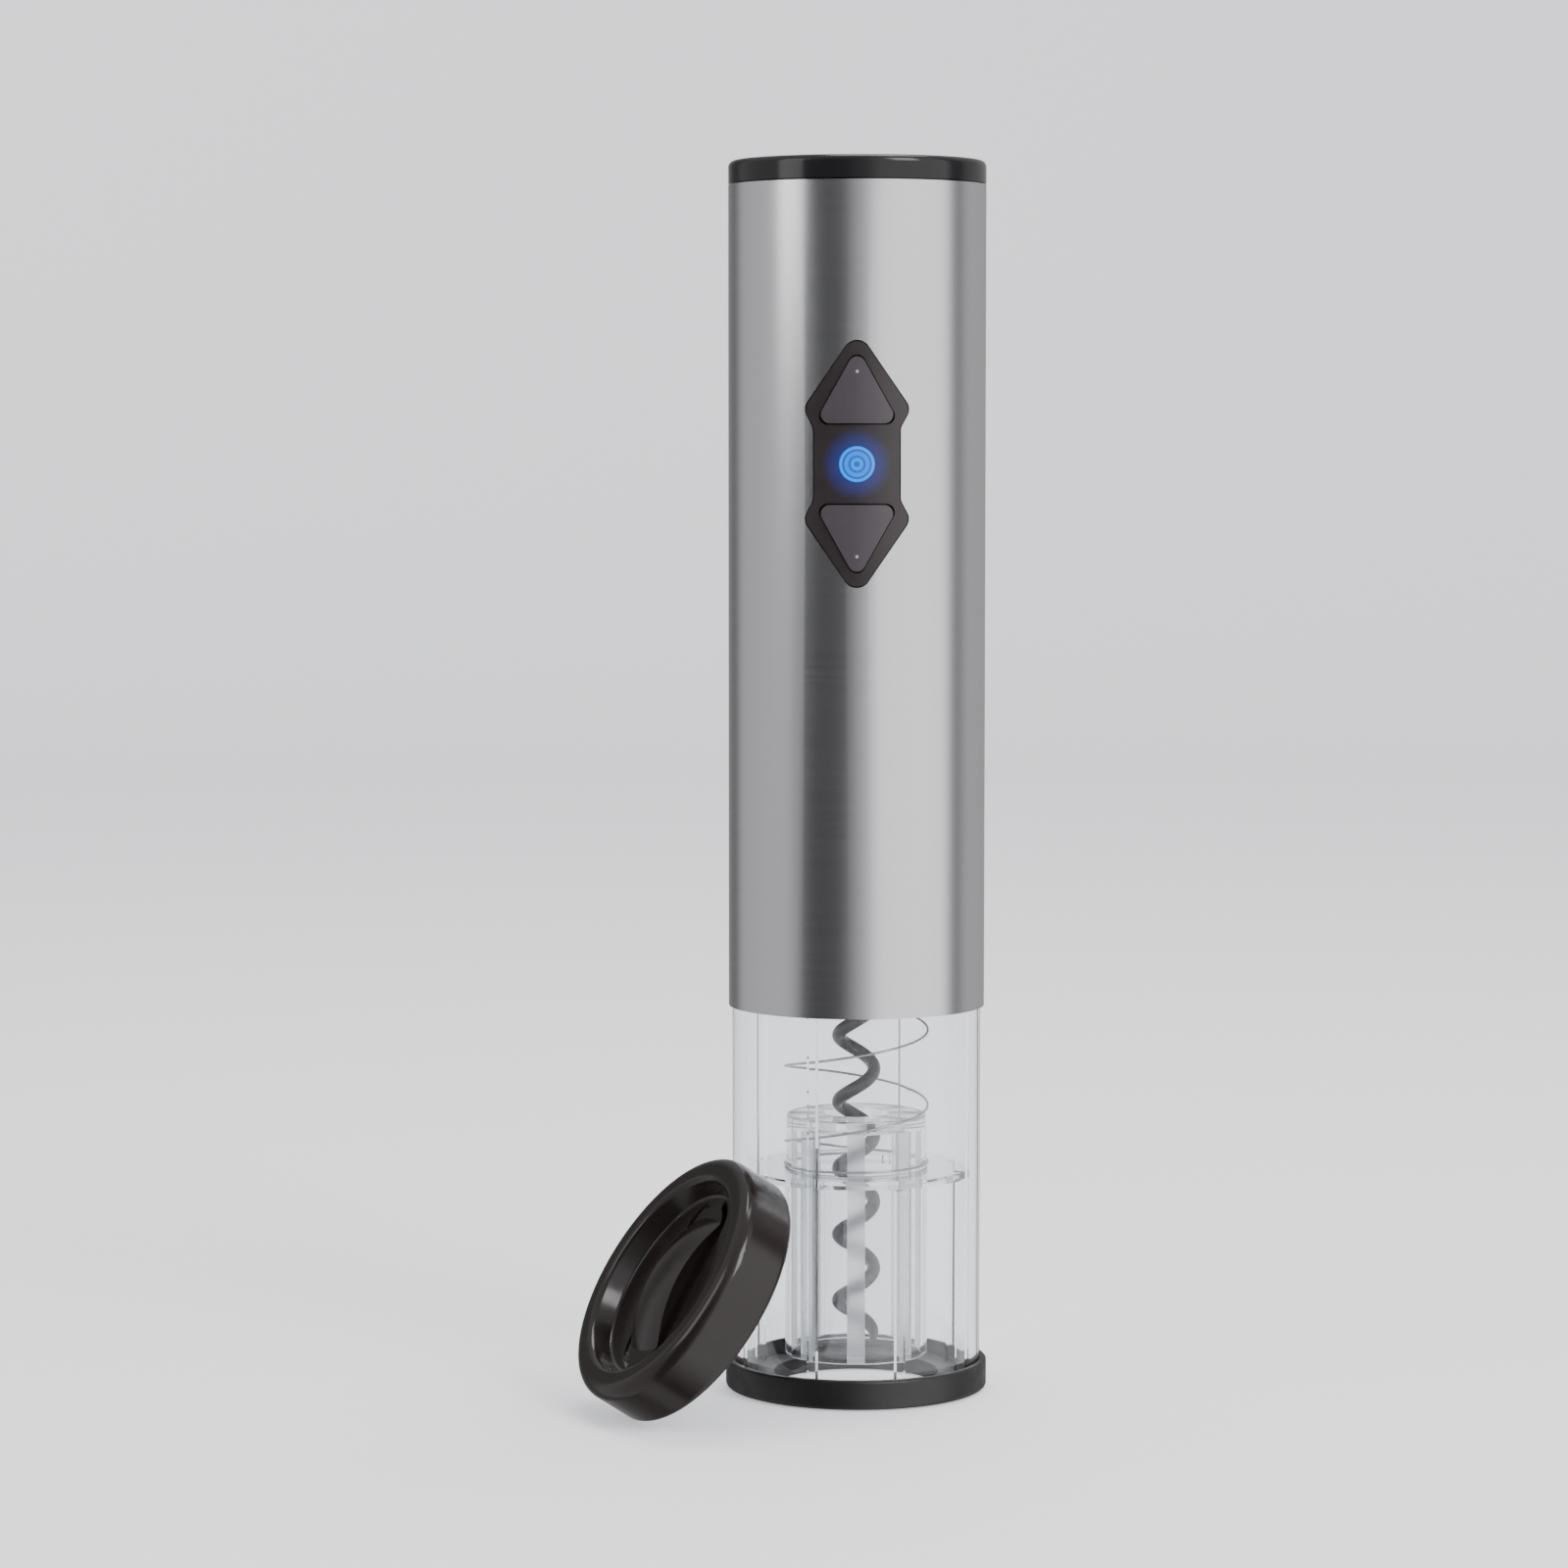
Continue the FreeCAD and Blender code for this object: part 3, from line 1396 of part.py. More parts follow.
def make_wheel_pins():
    """Four pins that the cutting wheels turn on."""
    pins = []
    for x, y in wheel_spots():
        pins.append(cylinder("wheel_pin_dia/2", "foil_cover_thick/2", "foil_pocket_deep + 1", x, y))
    return several(pins)


def make_cutter_wheel(x, y):
    """A thin cutting wheel with a bevelled edge."""
    wheel = turned([
        ("wheel_pin_dia/2 + running_gap", "wheel_low"),
        ("wheel_r - wheel_thick", "wheel_low"),
        ("wheel_r", "wheel_low + wheel_thick/2 - 0.05"),
        ("wheel_r", "wheel_low + wheel_thick/2 + 0.05"),
        ("wheel_r - wheel_thick", "wheel_top"),
        ("wheel_pin_dia/2 + running_gap", "wheel_top"),
    ])
    return place(wheel, x, y)


def leaning_placement():
    """Where the foil cutter comes to rest: its lower rim on the ground, its back on the clear sleeve."""
    lean = math.radians(size("lean_angle"))
    heading = math.radians(size("lean_heading"))
    bearing = math.radians(size("lean_bearing"))
    edge = size("foil_round/2")
    rim = size("foil_r") - edge
    away = Vector(-math.cos(heading), -math.sin(heading), 0)
    across = Vector(-math.sin(heading), math.cos(heading), 0)
    swing = bearing - heading
    roll = math.atan2(math.tan(swing), math.sin(lean))
    touch = size("inner_r + moving_gap") + edge
    contact = Vector(-touch * math.cos(bearing), -touch * math.sin(bearing), 0)
    offset = away * (-rim * math.sin(lean) * math.cos(roll)) + across * (rim * math.sin(roll))
    ring_centre = contact - offset
    ring_centre.z = edge + rim * math.cos(lean)
    normal = away * math.cos(lean) + Vector(0, 0, math.sin(lean))
    centre = ring_centre - normal * edge
    uphill = away * -math.sin(lean) + Vector(0, 0, math.cos(lean))
    turn = math.radians(size("foil_bar_turn"))
    bar = uphill * math.cos(turn) + across * math.sin(turn)
    side = normal.cross(bar)
    facing = Rotation(bar, side, normal, "ZXY")
    return Placement(centre, facing)


def leaned(item, where):
    """Lean one piece of the foil cutter with the rest."""
    wrap = several([item])
    wrap.Placement = where
    return wrap


# ---------------------------------------------------------------------------------------------
# The assembly
# ---------------------------------------------------------------------------------------------

node("base_ring", make_base_ring())
node("clear_sleeve", make_clear_sleeve())
node("body_sleeve", make_body_sleeve())
node("cork_guide", make_cork_guide())
node("guide_spring", make_guide_spring())
node("worm", make_worm())
node("worm_hub", make_worm_hub())
node("hub_pin", hub_pin_bar("hub_dia - spring_wire"))
node("chassis_front", make_chassis_front())
node("chassis_rear", make_chassis_rear())
node("chassis_screws", make_chassis_screws())
node("gearbox_cover", make_gearbox_cover())
node("output_bush", make_output_bush())
node("ring_gear", make_ring_gear())
node("motor_plate", make_motor_plate())
node("gearbox_screws", make_gearbox_screws())
node("stage1_carrier", make_stage1_carrier())
node("stage2_carrier", make_stage2_carrier())
for k in range(3):
    node(f"stage1_planet_{k + 1}", make_planet(120 * k, "planet1_low", "planet1_top"))
    node(f"stage2_planet_{k + 1}", make_planet(120 * k, "planet2_low", "planet2_top"))
node("sun_pinion", make_sun_pinion())
node("motor_can", make_motor_can())
node("motor_end_bell", make_motor_end_bell())
node("motor_bushes", make_motor_bushes())
node("motor_magnets", make_motor_magnets())
node("motor_brushes", make_motor_brushes())
node("rotor_core", make_rotor_core())
node("rotor_windings", make_rotor_windings())
node("commutator", make_commutator())
node("motor_shaft", make_motor_shaft())
node("battery_holder", make_battery_holder())
node("aa_cells", make_aa_cells())
node("lower_contacts", make_lower_contacts())
node("contact_springs", make_contact_springs())
node("battery_cap", make_battery_cap())
node("cap_seal", make_cap_seal())
node("cap_carrier", make_cap_carrier())
node("cap_contacts", make_cap_contacts())
node("control_panel", make_control_panel())
node("release_button", make_button(1))
node("extract_button", make_button(-1))
node("release_plunger", make_plunger(1))
node("extract_plunger", make_plunger(-1))
node("tact_switches", make_tact_switches())
node("indicator_lens", make_indicator_lens())
node("indicator_led", make_indicator_led())
node("pcb", make_pcb())
node("motor_leads", make_motor_leads())
node("battery_leads", make_battery_leads())

leaning = leaning_placement()
node("foil_cutter_shell", leaned(make_foil_shell(), leaning))
node("foil_cutter_cover", leaned(make_foil_cover(), leaning))
node("wheel_pins", leaned(make_wheel_pins(), leaning))
for number, (wheel_x, wheel_y) in enumerate(wheel_spots(), start=1):
    node(f"cutter_wheel_{number}", leaned(make_cutter_wheel(wheel_x, wheel_y), leaning))

doc.recompute()

for item in doc.Objects:
    if "Invalid" in item.State or "Error" in item.State:
        raise RuntimeError(f"{item.Label} ({item.TypeId}) did not build: {item.State}")
for item in pieces:
    if item.Shape.isNull() or not item.Shape.isValid() or not item.Shape.Solids:
        raise RuntimeError(f"{item.Label} is not a valid solid")

os.makedirs("parts", exist_ok=True)
for item in pieces:
    item.Shape.exportStep(f"parts/{item.Label}.step")
    box = item.Shape.BoundBox
    print(f"{item.Label:20} {len(item.Shape.Solids):2} solids  {item.Shape.Volume:10.1f} mm3"
          f"  z {box.ZMin:7.2f} to {box.ZMax:7.2f}")
print(len(pieces), "pieces")
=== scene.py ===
# %% [markdown]
# # Electric wine opener
# This lesson dresses a finished CAD model of an electric wine opener: a brushed steel body with a small
# control panel, a clear sleeve with the worm inside it, and a foil cutter that leans on the sleeve.
# The CAD model is loaded first and never moves. Everything below adds finishes, fine pieces and a studio.

# %% Load the frame
import math

import bpy
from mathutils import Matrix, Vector


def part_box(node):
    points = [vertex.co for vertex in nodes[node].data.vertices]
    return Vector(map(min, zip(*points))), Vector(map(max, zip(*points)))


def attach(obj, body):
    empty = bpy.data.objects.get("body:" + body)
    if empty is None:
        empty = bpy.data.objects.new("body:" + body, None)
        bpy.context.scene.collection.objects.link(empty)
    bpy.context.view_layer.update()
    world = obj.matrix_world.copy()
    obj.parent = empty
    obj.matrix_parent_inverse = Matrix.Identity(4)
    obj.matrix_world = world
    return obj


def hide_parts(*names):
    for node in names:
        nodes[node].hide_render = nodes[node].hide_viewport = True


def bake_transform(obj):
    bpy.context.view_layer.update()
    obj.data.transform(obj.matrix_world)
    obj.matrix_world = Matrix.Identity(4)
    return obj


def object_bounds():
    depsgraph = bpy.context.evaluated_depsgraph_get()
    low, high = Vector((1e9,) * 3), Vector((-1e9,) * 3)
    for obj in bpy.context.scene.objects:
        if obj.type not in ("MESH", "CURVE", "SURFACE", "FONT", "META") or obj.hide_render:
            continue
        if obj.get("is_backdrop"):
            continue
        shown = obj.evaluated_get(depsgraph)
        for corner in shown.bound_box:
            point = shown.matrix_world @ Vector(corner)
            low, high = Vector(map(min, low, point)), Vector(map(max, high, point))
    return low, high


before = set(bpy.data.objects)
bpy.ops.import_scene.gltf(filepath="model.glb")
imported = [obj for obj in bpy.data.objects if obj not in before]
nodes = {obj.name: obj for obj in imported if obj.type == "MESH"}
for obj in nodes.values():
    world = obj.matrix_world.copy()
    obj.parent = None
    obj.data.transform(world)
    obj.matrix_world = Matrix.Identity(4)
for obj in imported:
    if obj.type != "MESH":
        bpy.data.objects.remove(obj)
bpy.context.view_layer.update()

# %% [markdown]
# ## Units and places
# Blender works in metres, so a millimetre gets a name of its own. Places come from the boxes of the CAD
# nodes, which keeps the finishes and the small pieces on their parts when the model changes.

# %% Named places
MM = 0.001


def box_of(node):
    """Lowest and highest corner of a node as vectors."""
    low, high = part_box(node)
    return Vector(low), Vector(high)


def middle_of(node):
    """Centre of a node's box."""
    low, high = box_of(node)
    return (low + high) / 2


lens_centre = middle_of("indicator_lens")
guide_low, guide_high = box_of("guide_spring")
tube_low, tube_high = box_of("body_sleeve")
print("lens centre (mm):", [round(v / MM, 1) for v in lens_centre])

# %% [markdown]
# ## How a finish is built
# Every finish here is one Principled shader with a few nodes in front of it. Noise drives the fine relief
# and the roughness, because real plastic and metal are never perfectly even. Values that are the same
# everywhere are typed straight into the shader.

# %% Helpers for materials


class Finish:
    """A new material with its Principled shader and short ways to add nodes."""

    def __init__(self, name, color, roughness, metallic=0.0):
        self.material = bpy.data.materials.new(name)
        self.material.use_nodes = True
        self.tree = self.material.node_tree
        self.shader = self.tree.nodes["Principled BSDF"]
        self.output = self.tree.nodes["Material Output"]
        self.shader.inputs["Base Color"].default_value = (*color, 1)
        self.shader.inputs["Roughness"].default_value = roughness
        self.shader.inputs["Metallic"].default_value = metallic

    def put(self, **values):
        """Type constant values into the shader's sockets; underscores stand for spaces."""
        for name, value in values.items():
            self.shader.inputs[name.replace("_", " ")].default_value = value

    def node(self, kind, **settings):
        """Add a node and set its properties."""
        new = self.tree.nodes.new(kind)
        for name, value in settings.items():
            setattr(new, name, value)
        return new

    def link(self, start, end):
        """Join two sockets."""
        self.tree.links.new(start, end)

    def math(self, operation, first, second=None, third=None):
        """A Math node fed by sockets or plain numbers."""
        new = self.node("ShaderNodeMath", operation=operation)
        for slot, value in zip(new.inputs, (first, second, third)):
            if value is None:
                continue
            if isinstance(value, (int, float)):
                slot.default_value = value
            else:
                self.link(value, slot)
        return new.outputs[0]

    def place(self):
        """Coordinates in metres, the same for every piece."""
        return self.node("ShaderNodeTexCoord").outputs["Object"]

    def noise(self, scale, detail=3.0, vector=None):
        """Noise from 0 to 1, with about this many features per metre."""
        new = self.node("ShaderNodeTexNoise")
        new.inputs["Scale"].default_value = scale
        new.inputs["Detail"].default_value = detail
        self.link(vector if vector is not None else self.place(), new.inputs["Vector"])
        return new.outputs["Fac"]

    def spread(self, source, low, high, socket):
        """Map 0..1 to a range and feed it to one of the shader's sockets."""
        new = self.node("ShaderNodeMapRange")
        new.inputs["From Min"].default_value = 0.25
        new.inputs["From Max"].default_value = 0.75
        new.inputs["To Min"].default_value = low
        new.inputs["To Max"].default_value = high
        self.link(source, new.inputs["Value"])
        self.link(new.outputs["Result"], self.shader.inputs[socket])

    def shade(self, source, dark, light):
        """Blend the base colour between two close tones."""
        ramp = self.node("ShaderNodeValToRGB")
        ramp.color_ramp.elements[0].position = 0.3
        ramp.color_ramp.elements[1].position = 0.7
        ramp.color_ramp.elements[0].color = (*dark, 1)
        ramp.color_ramp.elements[1].color = (*light, 1)
        self.link(source, ramp.inputs["Fac"])
        self.link(ramp.outputs["Color"], self.shader.inputs["Base Color"])

    def relief(self, source, strength, depth):
        """Turn a height into fine relief."""
        bump = self.node("ShaderNodeBump")
        bump.inputs["Strength"].default_value = strength
        bump.inputs["Distance"].default_value = depth
        self.link(source, bump.inputs["Height"])
        self.link(bump.outputs["Normal"], self.shader.inputs["Normal"])

    def around(self, turns_scale, height_scale):
        """Coordinates that run around the Z axis and up it, each with its own scale."""
        parts = self.node("ShaderNodeSeparateXYZ")
        self.link(self.place(), parts.inputs["Vector"])
        angle = self.math("ARCTAN2", parts.outputs["Y"], parts.outputs["X"])
        wrapped = self.math("SINE", angle)
        along = self.math("MULTIPLY", wrapped, turns_scale)
        other = self.math("MULTIPLY", self.math("COSINE", angle), turns_scale)
        height = self.math("MULTIPLY", parts.outputs["Z"], height_scale)
        joined = self.node("ShaderNodeCombineXYZ")
        self.link(along, joined.inputs["X"])
        self.link(other, joined.inputs["Y"])
        self.link(height, joined.inputs["Z"])
        return joined.outputs["Vector"]

    def ring_distance(self, centre):
        """Distance from an axis that runs front to back through a point, in metres."""
        parts = self.node("ShaderNodeSeparateXYZ")
        self.link(self.place(), parts.inputs["Vector"])
        across = self.math("SUBTRACT", parts.outputs["X"], centre.x)
        up = self.math("SUBTRACT", parts.outputs["Z"], centre.z)
        squares = self.math("ADD", self.math("MULTIPLY", across, across), self.math("MULTIPLY", up, up))
        return self.math("SQRT", squares)


def dress(names, finish):
    """Give CAD nodes a finish."""
    for name in names:
        target = nodes[name]
        target.data.materials.clear()
        target.data.materials.append(finish.material)
    print(finish.material.name, "->", ", ".join(names))


# %% [markdown]
# ## Brushed steel
# The body is a thin stainless tube, brushed around its axis on a lathe. The marks are far finer than the
# tube, so they are noise that is stretched around the axis and packed tightly along it. Anisotropy then
# pulls the highlights into long vertical bands, which is what makes a brushed tube look like metal.

# %% Steel finishes


def brushed_steel(name, color, roughness, anisotropy):
    """Steel brushed around the Z axis."""
    steel = Finish(name, color, roughness, metallic=1.0)
    steel.put(Anisotropic=anisotropy)
    tangent = steel.node("ShaderNodeTangent", direction_type="RADIAL", axis="Z")
    steel.link(tangent.outputs["Tangent"], steel.shader.inputs["Tangent"])
    fine = steel.noise(1.0, 4.0, steel.around(1.4, 14000))
    steel.spread(fine, roughness - 0.02, roughness + 0.03, "Roughness")
    steel.shade(fine, [c * 0.95 for c in color], color)
    steel.relief(fine, 0.05, 0.000004)
    return steel


def worked_metal(name, color, roughness, grain=1800):
    """Plain metal with faint handling marks."""
    metal = Finish(name, color, roughness, metallic=1.0)
    marks = metal.noise(grain, 5.0)
    metal.spread(marks, roughness * 0.75, roughness * 1.3, "Roughness")
    metal.shade(metal.noise(260, 2.0), [c * 0.88 for c in color], color)
    metal.relief(marks, 0.08, 0.00002)
    return metal


sleeve_steel = brushed_steel("brushed_sleeve_steel", (0.66, 0.66, 0.68), 0.22, 0.5)
plated_steel = worked_metal("plated_steel", (0.66, 0.66, 0.68), 0.28)
spring_steel = worked_metal("drawn_spring_steel", (0.34, 0.34, 0.36), 0.3, 4000)
wheel_steel = worked_metal("cutting_wheel_steel", (0.74, 0.74, 0.76), 0.16, 3000)
bronze = worked_metal("sintered_bronze", (0.60, 0.40, 0.20), 0.42, 5000)
brass = worked_metal("pinion_brass", (0.78, 0.60, 0.28), 0.25)
copper = worked_metal("copper_parts", (0.80, 0.42, 0.26), 0.30)
dress(["body_sleeve"], sleeve_steel)
dress(["chassis_screws", "gearbox_screws", "motor_plate", "motor_can", "stage2_carrier", "hub_pin",
       "lower_contacts", "cap_contacts", "motor_shaft", "rotor_core", "wheel_pins"], plated_steel)
dress(["contact_springs", "guide_spring"], spring_steel)
dress([f"cutter_wheel_{k}" for k in (1, 2, 3, 4)], wheel_steel)
dress(["output_bush", "motor_bushes"], bronze)
dress(["sun_pinion"], brass)
dress(["commutator", "motor_brushes"], copper)

# %% [markdown]
# ## Moulded plastics
# Moulded parts differ in gloss more than in colour. One recipe covers them: a very fine grain for the
# tool's texture, a slow change of tone, and a clear coat where the part was polished.

# %% Plastic finishes


def moulded(name, color, roughness, grain_depth=0.00002, coat=0.0, tone=0.88):
    """Moulded plastic with tool grain and a slow change of tone."""
    plastic = Finish(name, color, roughness)
    plastic.put(Coat_Weight=coat, Coat_Roughness=0.06)
    grain = plastic.noise(5200, 2.0)
    plastic.relief(grain, 0.18, grain_depth)
    plastic.spread(plastic.noise(420, 4.0), roughness * 0.85, roughness * 1.2, "Roughness")
    plastic.shade(plastic.noise(90, 2.0), [c * tone for c in color], color)
    return plastic


base_plastic = moulded("satin_base_plastic", (0.012, 0.010, 0.011), 0.42)
cap_plastic = moulded("glossy_cap_plastic", (0.012, 0.011, 0.012), 0.14, 0.000004)
foil_plastic = moulded("glossy_foil_cutter_plastic", (0.014, 0.010, 0.009), 0.16, 0.000005)
foil_back = moulded("satin_foil_cutter_back", (0.014, 0.012, 0.012), 0.42)
button_plastic = moulded("button_plastic", (0.052, 0.043, 0.050), 0.36, 0.00001)
chassis_plastic = moulded("glass_filled_nylon", (0.13, 0.13, 0.14), 0.55, 0.00004)
gear_plastic = moulded("natural_acetal", (0.80, 0.78, 0.70), 0.38)
switch_plastic = moulded("switch_plastic", (0.035, 0.035, 0.038), 0.5)
seal_rubber = moulded("soft_seal_rubber", (0.03, 0.03, 0.03), 0.7, 0.00004)
magnet_ferrite = moulded("magnet_ferrite", (0.07, 0.07, 0.075), 0.6, 0.00006)
lamp_plastic = moulded("lamp_plastic", (0.85, 0.85, 0.80), 0.3)
lead_plastic = moulded("lead_insulation", (0.42, 0.03, 0.03), 0.4)
cap_plastic.put(Specular_IOR_Level=0.35)
foil_plastic.put(Specular_IOR_Level=0.4)
dress(["base_ring"], base_plastic)
dress(["battery_cap"], cap_plastic)
dress(["foil_cutter_shell"], foil_plastic)
dress(["foil_cutter_cover"], foil_back)
dress(["release_button", "extract_button"], button_plastic)
dress(["chassis_front", "chassis_rear", "worm_hub", "gearbox_cover", "battery_holder", "cap_carrier",
       "motor_end_bell"], chassis_plastic)
planets = [f"stage{stage}_planet_{k}" for stage in (1, 2) for k in (1, 2, 3)]
dress(["ring_gear", "stage1_carrier"] + planets, gear_plastic)
dress(["tact_switches", "release_plunger", "extract_plunger"], switch_plastic)
dress(["cap_seal"], seal_rubber)
dress(["motor_magnets"], magnet_ferrite)
dress(["indicator_led"], lamp_plastic)
dress(["motor_leads", "battery_leads"], lead_plastic)

# %% [markdown]
# ## Clear plastic
# The sleeve and the cork guide are clear polycarbonate. Full transmission with the plastic's own index of
# refraction gives the bright and dark edges. Glass in a path tracer casts a shadow that is too dark, so
# shadow rays pass through a transparent shader instead.

# %% Clear finishes


def clear_plastic(name, color, roughness):
    """Clear moulded plastic that lets light through to what is behind it."""
    clear = Finish(name, color, roughness)
    clear.put(Transmission_Weight=1.0, IOR=1.52, Specular_IOR_Level=0.3)
    clear.spread(clear.noise(300, 3.0), roughness * 0.5, roughness * 2.0, "Roughness")
    ways = clear.node("ShaderNodeLightPath")
    through = clear.node("ShaderNodeBsdfTransparent")
    through.inputs["Color"].default_value = (*[c * 0.96 for c in color], 1)
    mix = clear.node("ShaderNodeMixShader")
    clear.link(ways.outputs["Is Shadow Ray"], mix.inputs["Fac"])
    clear.link(clear.shader.outputs["BSDF"], mix.inputs[1])
    clear.link(through.outputs["BSDF"], mix.inputs[2])
    clear.link(mix.outputs["Shader"], clear.output.inputs["Surface"])
    return clear


def frost_ribs(clear, reach, width, frosted):
    """Frost the guide's inner ribs, which stand every eighth of a turn and hide the worm behind them."""
    parts = clear.node("ShaderNodeSeparateXYZ")
    clear.link(clear.place(), parts.inputs["Vector"])
    angle = clear.math("ARCTAN2", parts.outputs["Y"], parts.outputs["X"])
    eighth = math.pi / 4
    folded = clear.math("PINGPONG", clear.math("ADD", angle, 2 * math.pi), eighth / 2)
    squares = clear.math("ADD", clear.math("MULTIPLY", parts.outputs["X"], parts.outputs["X"]),
                         clear.math("MULTIPLY", parts.outputs["Y"], parts.outputs["Y"]))
    radius = clear.math("SQRT", squares)
    near = clear.math("LESS_THAN", clear.math("MULTIPLY", folded, radius), width / 2)
    inside = clear.math("LESS_THAN", radius, reach)
    mask = clear.math("MULTIPLY", near, inside)
    rough = clear.math("MULTIPLY_ADD", mask, frosted, 0.02)
    clear.link(rough, clear.shader.inputs["Roughness"])


sleeve_clear = clear_plastic("clear_sleeve_plastic", (0.975, 0.985, 0.99), 0.012)
guide_clear = clear_plastic("clear_guide_plastic", (0.95, 0.965, 0.975), 0.02)
RIB_REACH = 0.61         # the ribs end at this share of the flange's radius
RIB_WIDTH = 3.2 * MM
RIB_FROST = 0.5

guide_corner_low, guide_corner_high = box_of("cork_guide")
guide_outer = (guide_corner_high.x - guide_corner_low.x) / 2
frost_ribs(guide_clear, guide_outer * RIB_REACH, RIB_WIDTH, RIB_FROST)
dress(["clear_sleeve"], sleeve_clear)
dress(["cork_guide"], guide_clear)

# %% [markdown]
# ## Worm coating
# The worm is steel with a black non-stick coating. It is dark but shiny, so its shape shows as thin
# highlights along the wire; a slight orange-peel relief breaks them up.

# %% Worm finish
worm_coat = Finish("worm_coating", (0.006, 0.006, 0.007), 0.28)
worm_coat.put(Specular_IOR_Level=0.35)
worm_coat.relief(worm_coat.noise(1600, 3.0), 0.2, 0.00003)
worm_coat.spread(worm_coat.noise(700, 3.0), 0.16, 0.3, "Roughness")
dress(["worm"], worm_coat)

# %% [markdown]
# ## Control panel and lens
# The round lens is lit from behind in blue: a bright disc with a dark centre, a dark ring and a paler rim.
# All of it is one ramp over the distance from the lens's axis. The panel around it gets a faint blue glow
# from the same distance, as real plastic does next to a lamp; here that spilt light is painted, as
# emission from the panel itself.

# %% Panel and lens finishes
LENS_RADIUS = 3.3 * MM
PAINTED_GLOW_RADIUS = 7.0 * MM


def panel_with_painted_glow():
    """Dark satin panel with a painted blue glow beside the lens, standing in for the lamp's spilt light.
    """
    panel = moulded("control_panel_plastic_and_painted_glow", (0.020, 0.014, 0.015), 0.38, 0.00001)
    # Painted glow: the panel's own emission, fading with distance from the lens, stands in for the lens's
    # light falling on it.
    reach = panel.math("DIVIDE", panel.ring_distance(lens_centre), PAINTED_GLOW_RADIUS)
    ramp = panel.node("ShaderNodeValToRGB")
    ramp.color_ramp.interpolation = "EASE"
    start, end = ramp.color_ramp.elements
    start.position = LENS_RADIUS / PAINTED_GLOW_RADIUS
    start.color = (0.0, 0.08, 0.75, 1)
    end.position = 1.0
    end.color = (0, 0, 0, 1)
    panel.link(reach, ramp.inputs["Fac"])
    panel.link(ramp.outputs["Color"], panel.shader.inputs["Emission Color"])
    panel.put(Emission_Strength=0.22)
    return panel


def lens_finish():
    """Blue lens with rings, lit from behind."""
    lens = Finish("blue_lens", (0.0, 0.03, 0.2), 0.12)
    lens.put(Coat_Weight=0.3, Coat_Roughness=0.04, Emission_Strength=1.15)
    reach = lens.math("DIVIDE", lens.ring_distance(lens_centre), LENS_RADIUS)
    ramp = lens.node("ShaderNodeValToRGB")
    stops = (
        (0.00, (0.00, 0.10, 0.50)),
        (0.14, (0.00, 0.10, 0.50)),
        (0.20, (0.00, 0.34, 1.00)),
        (0.32, (0.00, 0.32, 1.00)),
        (0.38, (0.00, 0.08, 0.45)),
        (0.46, (0.00, 0.10, 0.55)),
        (0.52, (0.00, 0.26, 1.00)),
        (0.68, (0.00, 0.24, 1.00)),
        (0.74, (0.00, 0.06, 0.40)),
        (0.80, (0.00, 0.08, 0.50)),
        (0.86, (0.02, 0.40, 1.00)),
        (0.96, (0.00, 0.30, 1.00)),
        (1.00, (0.00, 0.04, 0.30)),
    )
    elements = ramp.color_ramp.elements
    elements[0].position, elements[0].color = stops[0][0], (*stops[0][1], 1)
    elements[1].position, elements[1].color = stops[-1][0], (*stops[-1][1], 1)
    for position, color in stops[1:-1]:
        elements.new(position).color = (*color, 1)
    lens.link(reach, ramp.inputs["Fac"])
    lens.link(ramp.outputs["Color"], lens.shader.inputs["Emission Color"])
    return lens


dress(["control_panel"], panel_with_painted_glow())
dress(["indicator_lens"], lens_finish())

# %% [markdown]
# ## Inner parts with a pattern
# Wound copper shows its turns, a circuit board its tracks, and a battery its printed jacket. They are
# seen only when the cap is off or the pieces are apart, so a single texture each is enough.

# %% Windings, board and cells


def wound_copper():
    """Copper wire, seen as fine parallel turns."""
    wire = Finish("wound_copper", (0.62, 0.26, 0.12), 0.32, metallic=0.9)
    wave = wire.node("ShaderNodeTexWave", bands_direction="Z")
    wave.inputs["Scale"].default_value = 700
    wave.inputs["Distortion"].default_value = 0.6
    wire.link(wire.place(), wave.inputs["Vector"])
    wire.relief(wave.outputs["Fac"], 0.6, 0.0002)
    wire.shade(wave.outputs["Fac"], (0.40, 0.14, 0.06), (0.78, 0.36, 0.18))
    return wire


def board_finish():
    """Solder mask with faint square tracks under it."""
    board = Finish("circuit_board", (0.01, 0.13, 0.06), 0.25)
    board.put(Coat_Weight=0.4, Coat_Roughness=0.1)
    tracks = board.node("ShaderNodeTexVoronoi", distance="MANHATTAN", feature="DISTANCE_TO_EDGE")
    tracks.inputs["Scale"].default_value = 420
    board.link(board.place(), tracks.inputs["Vector"])
    board.shade(tracks.outputs["Distance"], (0.02, 0.20, 0.09), (0.008, 0.11, 0.05))
    board.relief(tracks.outputs["Distance"], 0.2, 0.00005)
    return board


def cell_finish():
    """Cell with a dark jacket and a band of bare metal towards its top."""
    low, high = box_of("aa_cells")
    cell = Finish("cell_jacket", (0.05, 0.06, 0.07), 0.28)
    parts = cell.node("ShaderNodeSeparateXYZ")
    cell.link(cell.place(), parts.inputs["Vector"])
    height = cell.math("DIVIDE", cell.math("SUBTRACT", parts.outputs["Z"], low.z), high.z - low.z)
    ramp = cell.node("ShaderNodeValToRGB")
    ramp.color_ramp.interpolation = "CONSTANT"
    first, last = ramp.color_ramp.elements
    first.color = (0.04, 0.045, 0.05, 1)
    last.position, last.color = 0.985, (0.62, 0.62, 0.64, 1)
    ramp.color_ramp.elements.new(0.78).color = (0.45, 0.28, 0.12, 1)
    cell.link(height, ramp.inputs["Fac"])
    cell.link(ramp.outputs["Color"], cell.shader.inputs["Base Color"])
    cell.relief(cell.noise(900, 3.0), 0.1, 0.00003)
    return cell


